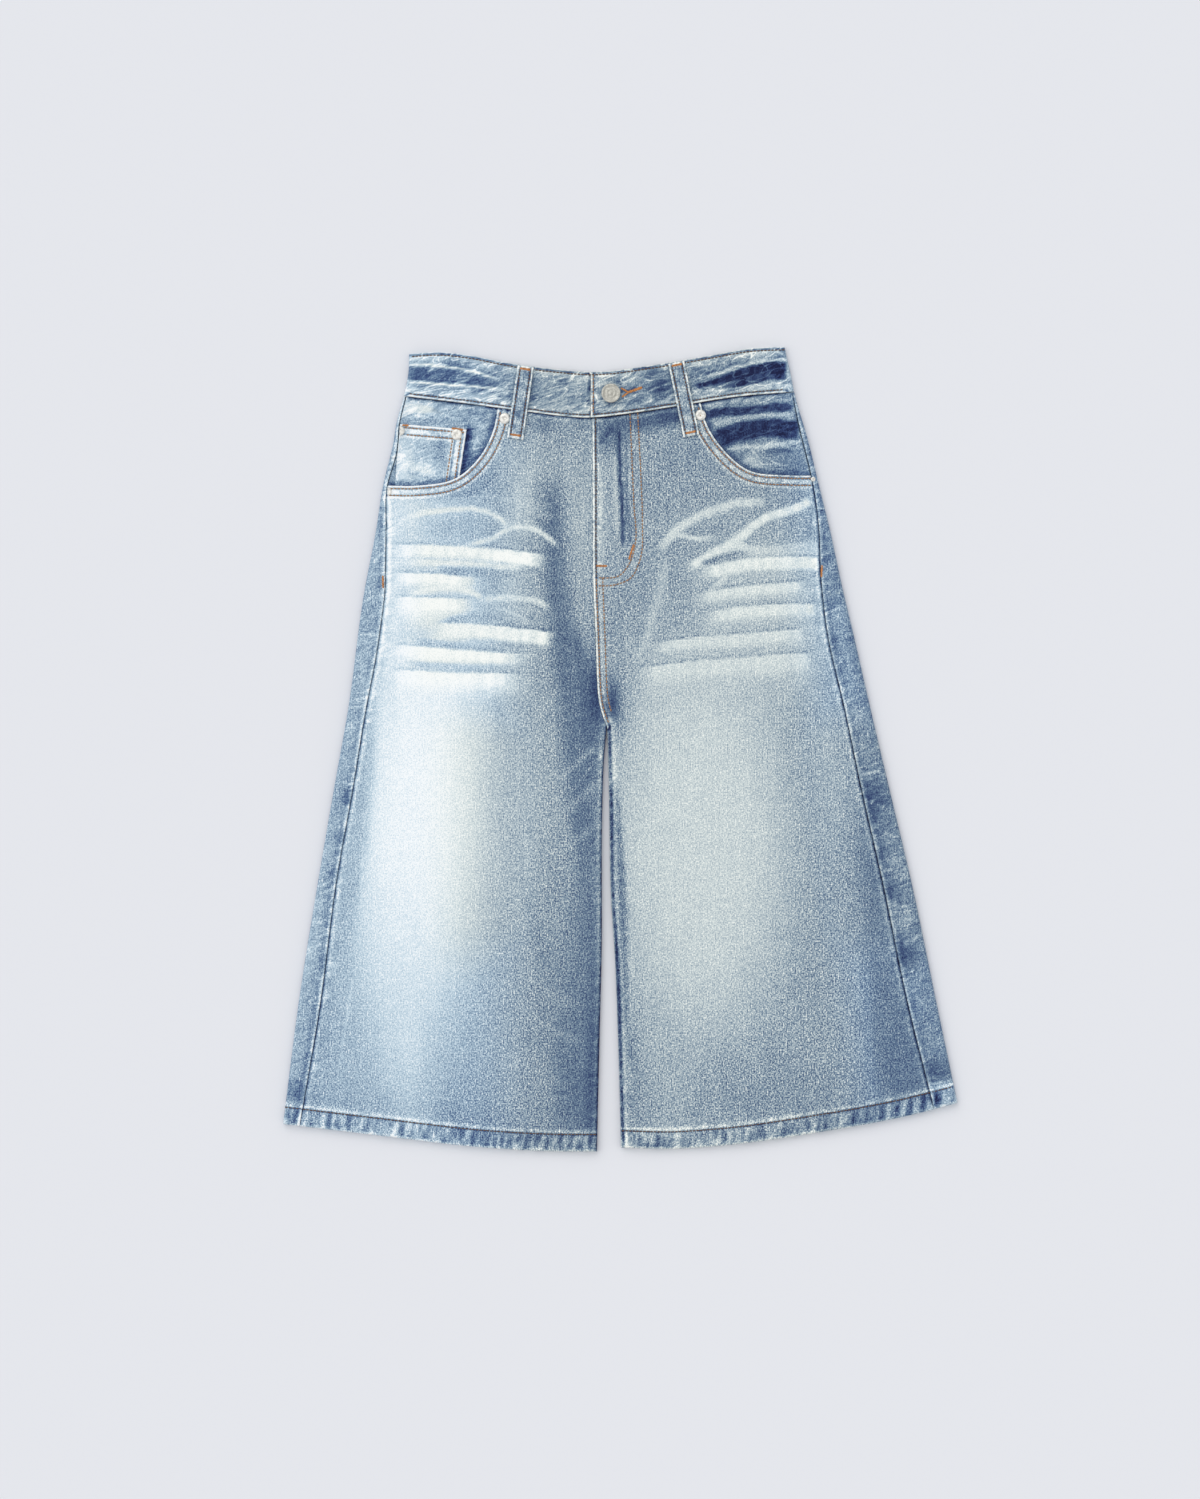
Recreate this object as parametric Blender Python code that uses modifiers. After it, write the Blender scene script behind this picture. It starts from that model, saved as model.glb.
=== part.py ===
"""Wide-leg knee-length jeans laid flat on their back, front upwards, in metres and +Z up.

The jeans lie on z = 0 with the waist towards +Y, so the wearer's right leg is on the -X side. Each cut
piece of cloth is a grid laid on the form of the garment and given its wall inwards. The two front panels
end at outseams that show on the upper side; the yokes and back panels wrap from there round the side
folds to the underside. Every table below is in millimetres.
"""

import math

import bmesh
import bpy
import numpy as np

MM = 0.001

# The cloth and the way it lies
WALL = 1.2
SEAM_GAP = 0.3
LAYER = WALL + SEAM_GAP
FOLD_RADIUS = 3.1
QUARTER_FOLD = FOLD_RADIUS * math.pi / 2
EDGE_FADE = 40.0
LEG_SINK = 0.5
HEM_WALL = 2.4
HEM_HEIGHT = 15.5
WAISTBAND_WALL = 2.0
WAISTBAND_SWELL = 0.4

# The wearer's right is on the -X side
SIDE_SIGN = {"right": -1, "left": 1}

# Side fold of the flat garment, from the hem corner to the top of the waistband
SIDE_FOLD = {
    # height y, x
    "right": [
        (-337.7, -303.5),
        (-226.0, -289.1),
        (-121.7, -272.4),
        (-32.6, -257.1),
        (33.0, -245.4),
        (143.0, -230.1),
        (197.0, -219.8),
        (237.0, -213.5),
        (278.0, -203.8),
        (292.0, -201.6),
        (318.0, -194.6),
        (340.0, -190.6),
        (356.0, -190.0),
    ],
    "left": [
        (-318.8, 303.6),
        (-226.0, 284.2),
        (-121.7, 262.6),
        (-32.6, 241.5),
        (38.5, 224.8),
        (103.0, 210.0),
        (143.0, 200.5),
        (197.0, 188.8),
        (237.0, 179.0),
        (278.0, 169.0),
        (318.0, 157.3),
        (340.0, 152.8),
        (361.0, 148.0),
    ],
}

# How far the outseam lies inside the side fold, on the upper side
OUTSEAM_INSET = {
    # height y, inset
    "right": [
        (-338.0, 15.3),
        (-226.0, 19.8),
        (-121.7, 16.7),
        (-32.6, 17.1),
        (33.0, 16.2),
        (102.0, 19.4),
        (143.0, 18.4),
        (168.0, 14.0),
        (197.0, 9.0),
        (237.0, 3.8),
        (262.0, 5.0),
        (290.0, 2.7),
        (318.0, 1.2),
    ],
    "left": [
        (-319.0, 22.5),
        (-226.0, 26.1),
        (-121.7, 26.1),
        (-32.6, 25.2),
        (38.5, 23.4),
        (103.0, 23.4),
        (143.0, 18.9),
        (167.0, 15.3),
        (197.0, 9.9),
        (237.0, 5.2),
        (285.0, 4.6),
        (321.0, 1.2),
    ],
}

# Centre seam, from the crotch up to the waist seam
CROTCH_Y = 19.6
CENTRE_SEAM = [
    # height y, x
    (CROTCH_Y, -11.9),
    (31.3, -16.4),
    (43.9, -19.4),
    (62.0, -20.9),
    (94.0, -22.0),
    (152.0, -24.3),
    (242.0, -24.7),
    (300.0, -25.1),
]

# Inner edge of each leg, from the hem up to the crotch
INNER_EDGE = {
    # height y, x
    "right": [
        (-362.5, -20.9),
        (-262.0, -18.6),
        (-190.0, -16.8),
        (-46.0, -15.9),
        (-10.0, -14.6),
        (CROTCH_Y, -12.1),
    ],
    "left": [
        (-359.0, 0.7),
        (-262.0, -2.0),
        (-190.0, -4.7),
        (-136.0, -8.3),
        (-46.0, -10.1),
        (CROTCH_Y, -11.7),
    ],
}

# Seam under the waistband, and the waistband's top edge, across both sides
WAIST_CENTRE_Y = 298.0
WAIST_SIDE_Y = 318.0
WAIST_SEAM = [
    # x, height y
    (-194.5, 317.3),
    (-134.0, 310.1),
    (-84.0, 303.2),
    (-25.0, WAIST_CENTRE_Y),
    (7.0, 301.5),
    (50.0, 308.0),
    (107.0, 317.0),
    (157.0, 321.2),
]
WAIST_TOP = [
    # x, height y
    (-190.0, 355.3),
    (-164.0, 356.8),
    (-137.0, 354.2),
    (-101.0, 347.2),
    (-65.0, 342.2),
    (-18.0, 339.2),
    (25.0, 344.5),
    (79.0, 353.5),
    (118.0, 360.2),
    (148.0, 361.6),
]
HEM_EDGE = {
    # x, height y
    "right": [
        (-303.5, -337.7),
        (-214.0, -348.5),
        (-128.0, -358.4),
        (-63.0, -362.2),
        (-20.9, -362.5),
    ],
    "left": [
        (0.7, -359.0),
        (44.8, -360.2),
        (88.0, -357.5),
        (174.0, -345.8),
        (261.0, -329.6),
        (303.6, -318.8),
    ],
}

# Front pocket mouths, from the waist seam to their foot at the outseam
POCKET_MOUTH = {
    # x, height y
    "right": [
        (-110.1, 306.4),
        (-113.6, 288.7),
        (-126.6, 262.6),
        (-147.3, 243.9),
        (-181.7, 237.0),
    ],
    "left": [
        (72.2, 311.5),
        (77.2, 293.6),
        (93.0, 269.2),
        (114.5, 251.3),
        (150.4, 246.3),
    ],
}
MOUTH_FOOT_Y = {"right": 237.0, "left": 246.0}

# The pocket facing reaches this far under the mouth's edge, with its lower corner at half of the mouth
FACING_UNDER = 12.0
FACING_CORNER = 0.5

# Beside the coin pocket the facing rises by one layer, over this run from the pocket's edge
COIN_STEP = (16.0, 4.0)
# and at the side fold it sinks to its own depth, over this run of inset
FACING_SINK = {"right": (FOLD_RADIUS, 9.5), "left": (0.5, 4.5)}

# The coin pocket's corners; its foot runs under the edge of the pocket mouth
COIN_POCKET = {
    # corner: (x, height y)
    "top_outer": (-197.9, 292.3),
    "top_inner": (-138.3, 287.2),
    "foot_inner": (-146.5, 232.0),
    "foot_outer": (-203.6, 230.5),
}

# The fly: the left front laps over the right front down to the end of the fly's stitching
FLY_FOOT_Y = 150.0
FLY_UNDERLAP = 10.0
FLY_UNDERLAP_RUN = 25.0
# The right front sinks under the left one over this run before the seam, and over these heights
FLY_RAMP = (20.0, 5.0)
FLY_SINK_Y = (95.0, 115.0)

# The waistband's ends lap over each other behind the button
LAP_END_X = -26.5
LAP_UNDER_END_X = 28.0
LAP_RISE = 2.1
LAP_RISE_X = (45.0, 0.0)
LAP_UNDER_SINK = 0.2
LAP_UNDER_SINK_X = (-60.0, -30.0)
LAP_CORNER = 3.0
LAP_CORNER_RUN = 7.0

# Yokes and centre back
YOKE_CENTRE_Y = 222.0
YOKE_SLOPE = 0.22

BACK_POCKET_TOP_Y = 206.0
BACK_POCKET_X = {"right": -128.0, "left": 82.0}
BACK_POCKET_TOP_WIDTH = 136.0
BACK_POCKET_FOOT_WIDTH = 118.0
BACK_POCKET_SHOULDER = 122.0
BACK_POCKET_HEIGHT = 146.0

# Belt loops: centre of the top end, centre of the foot
LOOP_WIDTH = 12.4
LOOP_WALL = 1.6
LOOP_BOW = 1.1
FRONT_LOOPS = {
    # name: (top x, top y, foot x, foot y)
    "belt_loop_front_right": (-85.0, 344.0, -94.6, 279.0),
    "belt_loop_front_left": (50.4, 347.6, 64.0, 281.5),
}
BACK_LOOP_FOOT_Y = 268.0
BACK_LOOPS = {
    # name: x
    "belt_loop_back_right": -108.0,
    "belt_loop_back_centre": -24.0,
    "belt_loop_back_left": 74.0,
}

# Zones of the underside that lie on a loop or a patch pocket and so stand a layer above the table
UNDER_ZONES = [
    # x from, x to, y from, y to
    (-118.0, 84.0, 268.0, 370.0),
    (-196.0, -60.0, 60.0, 206.0),
    (14.0, 150.0, 60.0, 206.0),
]
ZONE_MARGIN = 8.0
ZONE_RAMP = 16.0

# Soft swells and troughs of the upper side
SWELLS = [
    # centre x, centre y, half width, half height, height
    (-150.0, 268.0, 62.0, 46.0, 1.2),
    (122.0, 276.0, 58.0, 44.0, 1.2),
]
CREASES = [
    # from x, from y, to x, to y, half width, height
    (0.0, 288.0, 2.5, 180.0, 4.0, -0.9),
    (-9.0, 285.0, -8.0, 185.0, 5.0, 0.5),
    (10.0, 280.0, 12.0, 190.0, 6.0, 0.4),
    (-20.0, 60.0, -12.5, 26.0, 8.0, -0.5),
    (-40.0, 40.0, -120.0, 120.0, 16.0, 0.35),
    (10.0, 40.0, 90.0, 105.0, 16.0, 0.35),
    (-55.0, -20.0, -30.0, -120.0, 12.0, -0.3),
    (30.0, 0.0, 22.0, -240.0, 14.0, 0.3),
    (-190.0, -120.0, -215.0, -330.0, 26.0, 0.4),
    (-120.0, -60.0, -125.0, -340.0, 34.0, 0.5),
    (-70.0, -190.0, -66.0, -350.0, 22.0, -0.3),
    (100.0, -60.0, 118.0, -330.0, 34.0, 0.5),
    (170.0, -120.0, 205.0, -320.0, 26.0, 0.4),
    (60.0, -200.0, 64.0, -350.0, 22.0, -0.3),
    (235.0, -55.0, 190.0, -62.0, 7.0, -0.4),
    (-250.0, -45.0, -215.0, -58.0, 7.0, -0.4),
]

# Metal trim. The rivets at the outseam show only their inner half, the rest is under the seam
BUTTON_X = -8.4
BUTTON_Y = 319.8
BUTTON_DIAMETER = 17.2
RIVET_HEIGHT = 1.3
RIVETS = {
    # name: (side, x, height y, diameter, half under the seam)
    "rivet_coin_inner": ("right", -147.3, 282.8, 9.8, False),
    "rivet_coin_outer": ("right", -198.4, 286.0, 8.8, True),
    "rivet_mouth_top_right": ("right", -103.9, 297.2, 9.8, False),
    "rivet_mouth_foot_right": ("right", -209.4, 231.4, 7.6, True),
    "rivet_mouth_top_left": ("left", 72.2, 300.2, 9.8, False),
    "rivet_mouth_foot_left": ("left", 173.6, 242.6, 4.2, False),
}

# Rows of a panel's grid, as shares of its height: the hem's inner edge and the rows at the crotch
ROW_HEM = 0.03
ROW_UNDER_CROTCH = 0.54
ROW_CROTCH = 0.55
CROTCH_ROW_HEIGHT = 6.0
BACK_ROWS = [
    # row, share of the height
    (0.0, 0.0),
    (ROW_HEM, 0.0265),
    (ROW_UNDER_CROTCH, 0.637),
    (ROW_CROTCH, 0.651),
    (1.0, 1.0),
]

# Columns of the grids: the pocket mouth's share of a front's top, the stations round the side fold, and
# those up the inner fold of a leg
MOUTH_SHARE = 0.6
WRAP_COLUMNS = [0.0, 0.5, 1.0, 1.34, 1.67, 2.0, 2.34, 2.67, 3.0]
INNER_TURN = np.array([0.33, 0.66, 0.93, 1.0])
QUARTER_TURN = np.array([0.34, 0.67, 1.0])
# Where the seam itself lies on the side fold, the upper strip ends at this share of the way to it
STRIP_SHARE = 0.8
# A point's height depends on its place across and the other way round, so they are worked out in rounds
ROUNDS = 6

# Colours of the source's own plain materials
WASHED_DENIM = (0.42, 0.55, 0.70)
DARK_DENIM = (0.16, 0.25, 0.45)
NICKEL = (0.62, 0.60, 0.56)


# Curves and surfaces of the flat garment


def ease(value, start, end):
    """Rises softly from 0 at start to 1 at end."""
    share = np.clip((np.asarray(value, float) - start) / (end - start), 0.0, 1.0)
    return share * share * (3.0 - 2.0 * share)


def through(table, at):
    """The smooth curve through the table's rows of (key, value), read at the keys given."""
    keys, values = np.array(table, float).T
    slopes = np.gradient(values, keys)
    at = np.asarray(at, float)
    held = np.clip(at, keys[0], keys[-1])
    index = np.clip(np.searchsorted(keys, held) - 1, 0, len(keys) - 2)
    span = keys[index + 1] - keys[index]
    t = (held - keys[index]) / span
    start = values[index] * (1 + 2 * t) * (1 - t) ** 2 + slopes[index] * span * t * (1 - t) ** 2
    end = values[index + 1] * t * t * (3 - 2 * t) + slopes[index + 1] * span * t * t * (t - 1)
    beyond = np.where(at < held, slopes[0], slopes[-1]) * (at - held)
    return start + end + beyond


def along(points, share):
    """The smooth curve through plan points, read at a share of its length."""
    points = np.array(points, float)
    steps = np.hypot(*np.diff(points, axis=0).T)
    reach = np.concatenate([[0.0], np.cumsum(steps)]) / steps.sum()
    xs = through(list(zip(reach, points[:, 0])), share)
    ys = through(list(zip(reach, points[:, 1])), share)
    return xs, ys


def side_fold(side, y):
    return through(SIDE_FOLD[side], y)


def outseam(side, y):
    return side_fold(side, y) - SIDE_SIGN[side] * through(OUTSEAM_INSET[side], y)


def mouth_curve(side):
    """The pocket mouth's points, ending on the outseam."""
    foot_y = MOUTH_FOOT_Y[side]
    foot_x = float(outseam(side, foot_y)) - SIDE_SIGN[side] * SEAM_GAP
    return POCKET_MOUTH[side] + [(foot_x, foot_y)]


def centre_seam(y):
    return through(CENTRE_SEAM, y)


def yoke_seam(x):
    return YOKE_CENTRE_Y + YOKE_SLOPE * np.abs(np.asarray(x, float) - centre_seam(YOKE_CENTRE_Y))


def inner_line(side, y):
    """The inner limit of a panel: the centre seam above the crotch, the leg's inner fold below it."""
    above = centre_seam(y) + SIDE_SIGN[side] * SEAM_GAP / 2
    return np.where(np.asarray(y) > CROTCH_Y, above, through(INNER_EDGE[side], np.minimum(y, CROTCH_Y)))


def nearest_side(x, y):
    """The inset of a point from the nearer side fold."""
    return np.minimum(x - side_fold("right", y), side_fold("left", y) - x)


def inset_all(x, y):
    """The inset of a point from the nearest fold, those between the legs included."""
    legs = np.where(x < centre_seam(CROTCH_Y), inner_line("right", y) - x, x - inner_line("left", y))
    between = np.where(np.asarray(y) < CROTCH_Y, legs, legs + (np.asarray(y) - CROTCH_Y))
    return np.minimum(nearest_side(x, y), between)


def crease(x, y, row):
    """A soft ridge or trough along a line, with rounded ends."""
    x0, y0, x1, y1, half_width, height = row
    length = math.hypot(x1 - x0, y1 - y0)
    ux, uy = (x1 - x0) / length, (y1 - y0) / length
    run = (x - x0) * ux + (y - y0) * uy
    across = (x - x0) * uy - (y - y0) * ux
    over = np.maximum(0.0, np.maximum(-run, run - length))
    return height * np.exp(-((across / half_width) ** 2) - (over / (2 * half_width)) ** 2)


def upper_height(x, y):
    """The height of the garment's upper skin above the table, away from the folds."""
    relief = -LEG_SINK * ease(y, 120.0, -40.0)
    for cx, cy, half_width, half_height, height in SWELLS:
        relief = relief + height * np.exp(-(((x - cx) / half_width) ** 4) - ((y - cy) / half_height) ** 4)
    for row in CREASES:
        relief = relief + crease(x, y, row)
    return 2 * FOLD_RADIUS + relief * ease(inset_all(x, y), FOLD_RADIUS, EDGE_FADE)


def under_height(x, y):
    """The height of the garment's lower skin: 0, or one layer over a loop or a patch pocket."""
    lift = np.zeros_like(np.asarray(x, float))
    for x_from, x_to, y_from, y_to in UNDER_ZONES:
        outside = np.maximum.reduce([x_from - x, x - x_to, y_from - y, y - y_to])
        lift = np.maximum(lift, ease(outside, ZONE_MARGIN + ZONE_RAMP, ZONE_MARGIN))
    return LAYER * lift * ease(nearest_side(x, y), FOLD_RADIUS, FOLD_RADIUS + ZONE_MARGIN)


def upper_skin(side, x, y, depth):
    """The point of the upper side over plan point x, y, moved inwards by depth, round the side fold too."""
    sign = SIDE_SIGN[side]
    edge = side_fold(side, y)
    inset = (edge - x) * sign
    cosine = np.clip((FOLD_RADIUS - inset) / FOLD_RADIUS, 0.0, 1.0)
    sine = np.sqrt(1.0 - cosine**2)
    on_fold = inset < FOLD_RADIUS
    arc_x = edge - sign * FOLD_RADIUS + sign * (FOLD_RADIUS - depth) * cosine
    arc_z = FOLD_RADIUS + (FOLD_RADIUS - depth) * sine
    return np.where(on_fold, arc_x, x), y, np.where(on_fold, arc_z, upper_height(x, y) - depth)


# Making one cloth piece


def material(name, colour, roughness, metallic=0.0):
    made = bpy.data.materials.new(name)
    made.use_nodes = True
    shader = made.node_tree.nodes["Principled BSDF"]
    shader.inputs["Base Color"].default_value = (*colour, 1.0)
    shader.inputs["Roughness"].default_value = roughness
    shader.inputs["Metallic"].default_value = metallic
    return made


def add_object(name, data, finish):
    made = bpy.data.objects.new(name, data)
    made.data.materials.append(finish)
    bpy.data.collections["jeans"].objects.link(made)
    return made


def spread(start, end, count, last=True):
    return np.linspace(start, end, count, endpoint=last)


def sheet(name, columns, rows, place, finish, wall=WALL, flip=False, thick=None):
    """A cut piece: a grid laid by place(column, row), with its wall inwards and thicker where thick says."""
    bm = bmesh.new()
    bmesh.ops.create_grid(bm, x_segments=len(columns) - 1, y_segments=len(rows) - 1, size=0.5)
    bm.verts.ensure_lookup_table()
    column = [round((vert.co.x + 0.5) * (len(columns) - 1)) for vert in bm.verts]
    row = [round((vert.co.y + 0.5) * (len(rows) - 1)) for vert in bm.verts]
    points = np.stack(place(np.asarray(columns)[column], np.asarray(rows)[row]), axis=1) * MM
    for vert, point in zip(bm.verts, points):
        vert.co = point
    if flip:
        bmesh.ops.reverse_faces(bm, faces=bm.faces)
    mesh = bpy.data.meshes.new(name)
    bm.to_mesh(mesh)
    bm.free()
    mesh.shade_smooth()
    made = add_object(name, mesh, finish)
    solid = made.modifiers.new("wall", "SOLIDIFY")
    solid.thickness = wall * MM
    solid.offset = -1.0
    solid.use_even_offset = True
    solid.use_quality_normals = True
    if thick is not None:
        group = made.vertex_groups.new(name="wall")
        for index, place_in_rows in enumerate(row):
            group.add([index], thick[place_in_rows], "REPLACE")
        solid.vertex_group = group.name
        solid.thickness_vertex_group = 0.0
    return made


def coons(bottom, top, outer, inner, u, v):
    """The plan point inside four side curves, each given as a function of its share."""
    corners = [bottom(0.0), bottom(1.0), top(0.0), top(1.0)]
    found = []
    for axis in (0, 1):
        c00, c10, c01, c11 = [float(corner[axis]) for corner in corners]
        ruled = (1 - v) * bottom(u)[axis] + v * top(u)[axis] + (1 - u) * outer(v)[axis] + u * inner(v)[axis]
        flat = (1 - u) * (1 - v) * c00 + u * (1 - v) * c10 + (1 - u) * v * c01 + u * v * c11
        found.append(ruled - flat)
    return found


# The cut pieces


def hem_weights(rows):
    return [1.0 if row <= ROW_HEM + 1e-6 else WALL / HEM_WALL for row in rows]


def panel_rows():
    """Rows from the hem up, with a narrow step at the hem's inner edge and a short one under the crotch."""
    legs = spread(ROW_HEM + 0.002, ROW_UNDER_CROTCH, 17)
    hips = spread(ROW_CROTCH, 1.0, 13)
    return np.concatenate([[0.0, ROW_HEM], legs, hips])


def at_stops(stops, key):
    """The value at a key, on straight runs between (key, value) stops."""
    return np.interp(key, *np.array(stops, float).T)


def open_fold(y):
    """How far the leg's inner fold is open at a height: not at all above the crotch."""
    return ease(y, CROTCH_Y, CROTCH_Y - CROTCH_ROW_HEIGHT)


def front(side, finish):
    sign = SIDE_SIGN[side]
    under_lap = side == "right"

    def inner_limit(y):
        lap = FLY_UNDERLAP * under_lap * ease(y, FLY_FOOT_Y - FLY_UNDERLAP_RUN, FLY_FOOT_Y)
        return inner_line(side, y) + lap

    def inner(v):
        waist = through(WAIST_SEAM, inner_limit(WAIST_CENTRE_Y)) - SEAM_GAP
        hem = through(HEM_EDGE[side], inner_line(side, INNER_EDGE[side][0][0]))
        stops = [
            (0.0, hem),
            (ROW_HEM, hem + HEM_HEIGHT),
            (ROW_UNDER_CROTCH, CROTCH_Y - CROTCH_ROW_HEIGHT),
            (ROW_CROTCH, CROTCH_Y),
            (1.0, waist),
        ]
        y = at_stops(stops, v)
        return inner_limit(y) + sign * FOLD_RADIUS, y

    def outer(v):
        mouth_foot = MOUTH_FOOT_Y[side] - SEAM_GAP
        hem = through(HEM_EDGE[side], outseam(side, SIDE_FOLD[side][0][0]))
        y = at_stops([(0.0, hem), (ROW_HEM, hem + HEM_HEIGHT), (1.0, mouth_foot)], v)
        return outseam(side, y) - sign * SEAM_GAP, y

    def bottom(u):
        x = (1 - u) * outer(0.0)[0] + u * inner(0.0)[0]
        return x, through(HEM_EDGE[side], x)

    def top(u):
        mouth_x, mouth_y = along(mouth_curve(side), 1 - np.clip(u / MOUTH_SHARE, 0, 1))
        corner_x = POCKET_MOUTH[side][0][0]
        share = np.clip((u - MOUTH_SHARE) / (1 - MOUTH_SHARE), 0, 1)
        waist_x = (1 - share) * corner_x + share * inner(1.0)[0]
        waist_y = through(WAIST_SEAM, waist_x) - SEAM_GAP
        on_mouth = np.asarray(u) < MOUTH_SHARE
        return np.where(on_mouth, mouth_x, waist_x), np.where(on_mouth, mouth_y - SEAM_GAP, waist_y)

    def place(u, v):
        core_x, core_y = coons(bottom, top, outer, inner, np.minimum(u, 1.0), v)
        turn = np.clip(u - 1.0, 0.0, 1.0) * math.pi / 2
        x = core_x - sign * FOLD_RADIUS * np.sin(turn)
        z = upper_height(x, core_y)
        z = z - open_fold(core_y) * (FOLD_RADIUS - SEAM_GAP) * (1 - np.cos(turn))
        before_seam = centre_seam(np.maximum(core_y, CROTCH_Y)) - x
        sunk = under_lap * ease(before_seam, *FLY_RAMP) * ease(core_y, *FLY_SINK_Y)
        return x, core_y, z - LAYER * sunk

    columns = np.concatenate([spread(0.0, MOUTH_SHARE, 11), spread(MOUTH_SHARE, 1.0, 8)[1:], 1 + INNER_TURN])
    rows = panel_rows()
    name = "front_" + side
    return sheet(name, columns, rows, place, finish, HEM_WALL, side == "left", hem_weights(rows))


def wrapped(side, station, low, high, v):
    """A point of a yoke or back panel. Stations 0 to 1 run on the upper side from the outseam, 1 to 3 round
    the side fold, 3 to 4 along the underside and 4 to 5 up the inner fold of the leg."""
    sign = SIDE_SIGN[side]
    y = (1 - v) * low(side_fold(side, 0.0)) + v * high(side_fold(side, 0.0))
    for _ in range(ROUNDS):
        edge = side_fold(side, y)
        inset = through(OUTSEAM_INSET[side], y) - SEAM_GAP / 2
        angle = np.arccos(np.clip((FOLD_RADIUS - inset) / FOLD_RADIUS, 0.0, 1.0))
        seam_arc = np.where(inset < FOLD_RADIUS, FOLD_RADIUS * angle, QUARTER_FOLD + inset - FOLD_RADIUS)
        fold_arc = np.minimum(STRIP_SHARE * seam_arc, QUARTER_FOLD)
        strip = np.clip(station, 0, 1)
        arc = (1 - strip) * seam_arc + strip * fold_arc
        arc = arc - np.clip(station - 1, 0, 1) * fold_arc - np.clip(station - 2, 0, 1) * QUARTER_FOLD
        bend = np.clip(arc / FOLD_RADIUS, -math.pi / 2, math.pi / 2)
        run = np.maximum(arc - QUARTER_FOLD, 0.0)
        outer_x = edge - sign * (FOLD_RADIUS * (1 - np.cos(bend)) + run)
        inner_x = inner_line(side, y) + sign * FOLD_RADIUS
        across = np.clip(station - 3, 0, 1)
        turn = np.clip(station - 4, 0, 1) * math.pi / 2
        x = (1 - across) * outer_x + across * inner_x - sign * FOLD_RADIUS * np.sin(turn)
        y = (1 - v) * low(x) + v * high(x)
    on_top = FOLD_RADIUS + FOLD_RADIUS * np.sin(bend) + (upper_height(x, y) - 2 * FOLD_RADIUS) * (run > 0)
    beneath = under_height(x, y) + open_fold(y) * (FOLD_RADIUS - SEAM_GAP) * (1 - np.cos(turn))
    return x, y, np.where(station <= 3, on_top, beneath)


def back(side, finish):
    def hem(x):
        return through(HEM_EDGE[side], x)

    def seam(x):
        return yoke_seam(x) - SEAM_GAP

    def place(station, v):
        return wrapped(side, station, hem, seam, at_stops(BACK_ROWS, v))

    columns = np.concatenate([WRAP_COLUMNS, spread(3.0, 4.0, 12)[1:], 4 + INNER_TURN])
    legs = spread(ROW_HEM + 0.002, ROW_UNDER_CROTCH, 15)
    rows = np.concatenate([[0.0, ROW_HEM], legs, spread(ROW_CROTCH, 1.0, 15)])
    return sheet("back_" + side, columns, rows, place, finish, HEM_WALL, side == "right", hem_weights(rows))


def yoke(side, finish):
    def waist(x):
        return through(WAIST_SEAM, x) - SEAM_GAP

    def place(station, v):
        return wrapped(side, station, yoke_seam, waist, v)

    columns = np.concatenate([WRAP_COLUMNS, spread(3.0, 4.0, 11)[1:], [5.0]])
    return sheet("yoke_" + side, columns, spread(0.0, 1.0, 4), place, finish, WALL, side == "right")


def facing_depth(side, x, y):
    """How far the pocket facing lies under the front; the coin pocket needs one layer more."""
    sunk = LAYER * ease((side_fold(side, y) - x) * SIDE_SIGN[side], *FACING_SINK[side])
    if side == "left":
        return sunk
    far, near = COIN_STEP
    coin_edge = COIN_POCKET["top_inner"][0]
    return LAYER + sunk * ease(x, coin_edge + far, coin_edge + near)


def pocket_facing(side, finish):
    sign = SIDE_SIGN[side]

    def mouth(share):
        """The mouth's curve moved under the front panel."""
        x, y = along(mouth_curve(side), share)
        ahead_x, ahead_y = along(mouth_curve(side), np.asarray(share) + 0.01)
        length = np.hypot(ahead_x - x, ahead_y - y)
        shift_x = sign * (ahead_y - y) / length * FACING_UNDER
        shift_y = -sign * (ahead_x - x) / length * FACING_UNDER
        return x + shift_x, y + shift_y

    foot_y = float(mouth(1.0)[1])
    top_x = float(mouth(0.0)[0])

    def outer(v):
        high = float(through(WAIST_SEAM, outseam(side, WAIST_SIDE_Y))) - SEAM_GAP
        y = foot_y + (high - foot_y) * v
        return outseam(side, y) - sign * 2 * SEAM_GAP, y

    def inner(v):
        x, y = mouth(FACING_CORNER * (1 - v))
        return x, y + v * (float(through(WAIST_SEAM, top_x)) - SEAM_GAP - float(mouth(0.0)[1]))

    def bottom(u):
        x, y = mouth(1.0 - (1.0 - FACING_CORNER) * u)
        return x + (1 - u) * (float(outer(0.0)[0]) - float(mouth(1.0)[0])), y

    def top(u):
        x = (1 - u) * float(outer(1.0)[0]) + u * top_x
        return x, through(WAIST_SEAM, x) - SEAM_GAP

    def place(u, v):
        x, y = coons(bottom, top, outer, inner, u, v)
        return upper_skin(side, x, y, facing_depth(side, x, y))

    columns = np.concatenate([[0.0, 0.015, 0.03, 0.06, 0.1], spread(0.18, 1.0, 8)])
    return sheet("pocket_facing_" + side, columns, spread(0.0, 1.0, 9), place, finish, WALL, side == "left")


def coin_pocket(finish):
    corner = {name: np.array(point) for name, point in COIN_POCKET.items()}

    def place(u, v):
        u, v = u[:, None], v[:, None]
        foot = (1 - u) * corner["foot_outer"] + u * corner["foot_inner"]
        top = (1 - u) * corner["top_outer"] + u * corner["top_inner"]
        x, y = ((1 - v) * foot + v * top).T
        return upper_skin("right", x, y, facing_depth("right", x, y) - LAYER)

    columns = np.concatenate([[0.0, 0.02, 0.045, 0.08, 0.13], spread(0.25, 1.0, 5)])
    return sheet("coin_pocket", columns, spread(0.0, 1.0, 7), place, finish)


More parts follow.
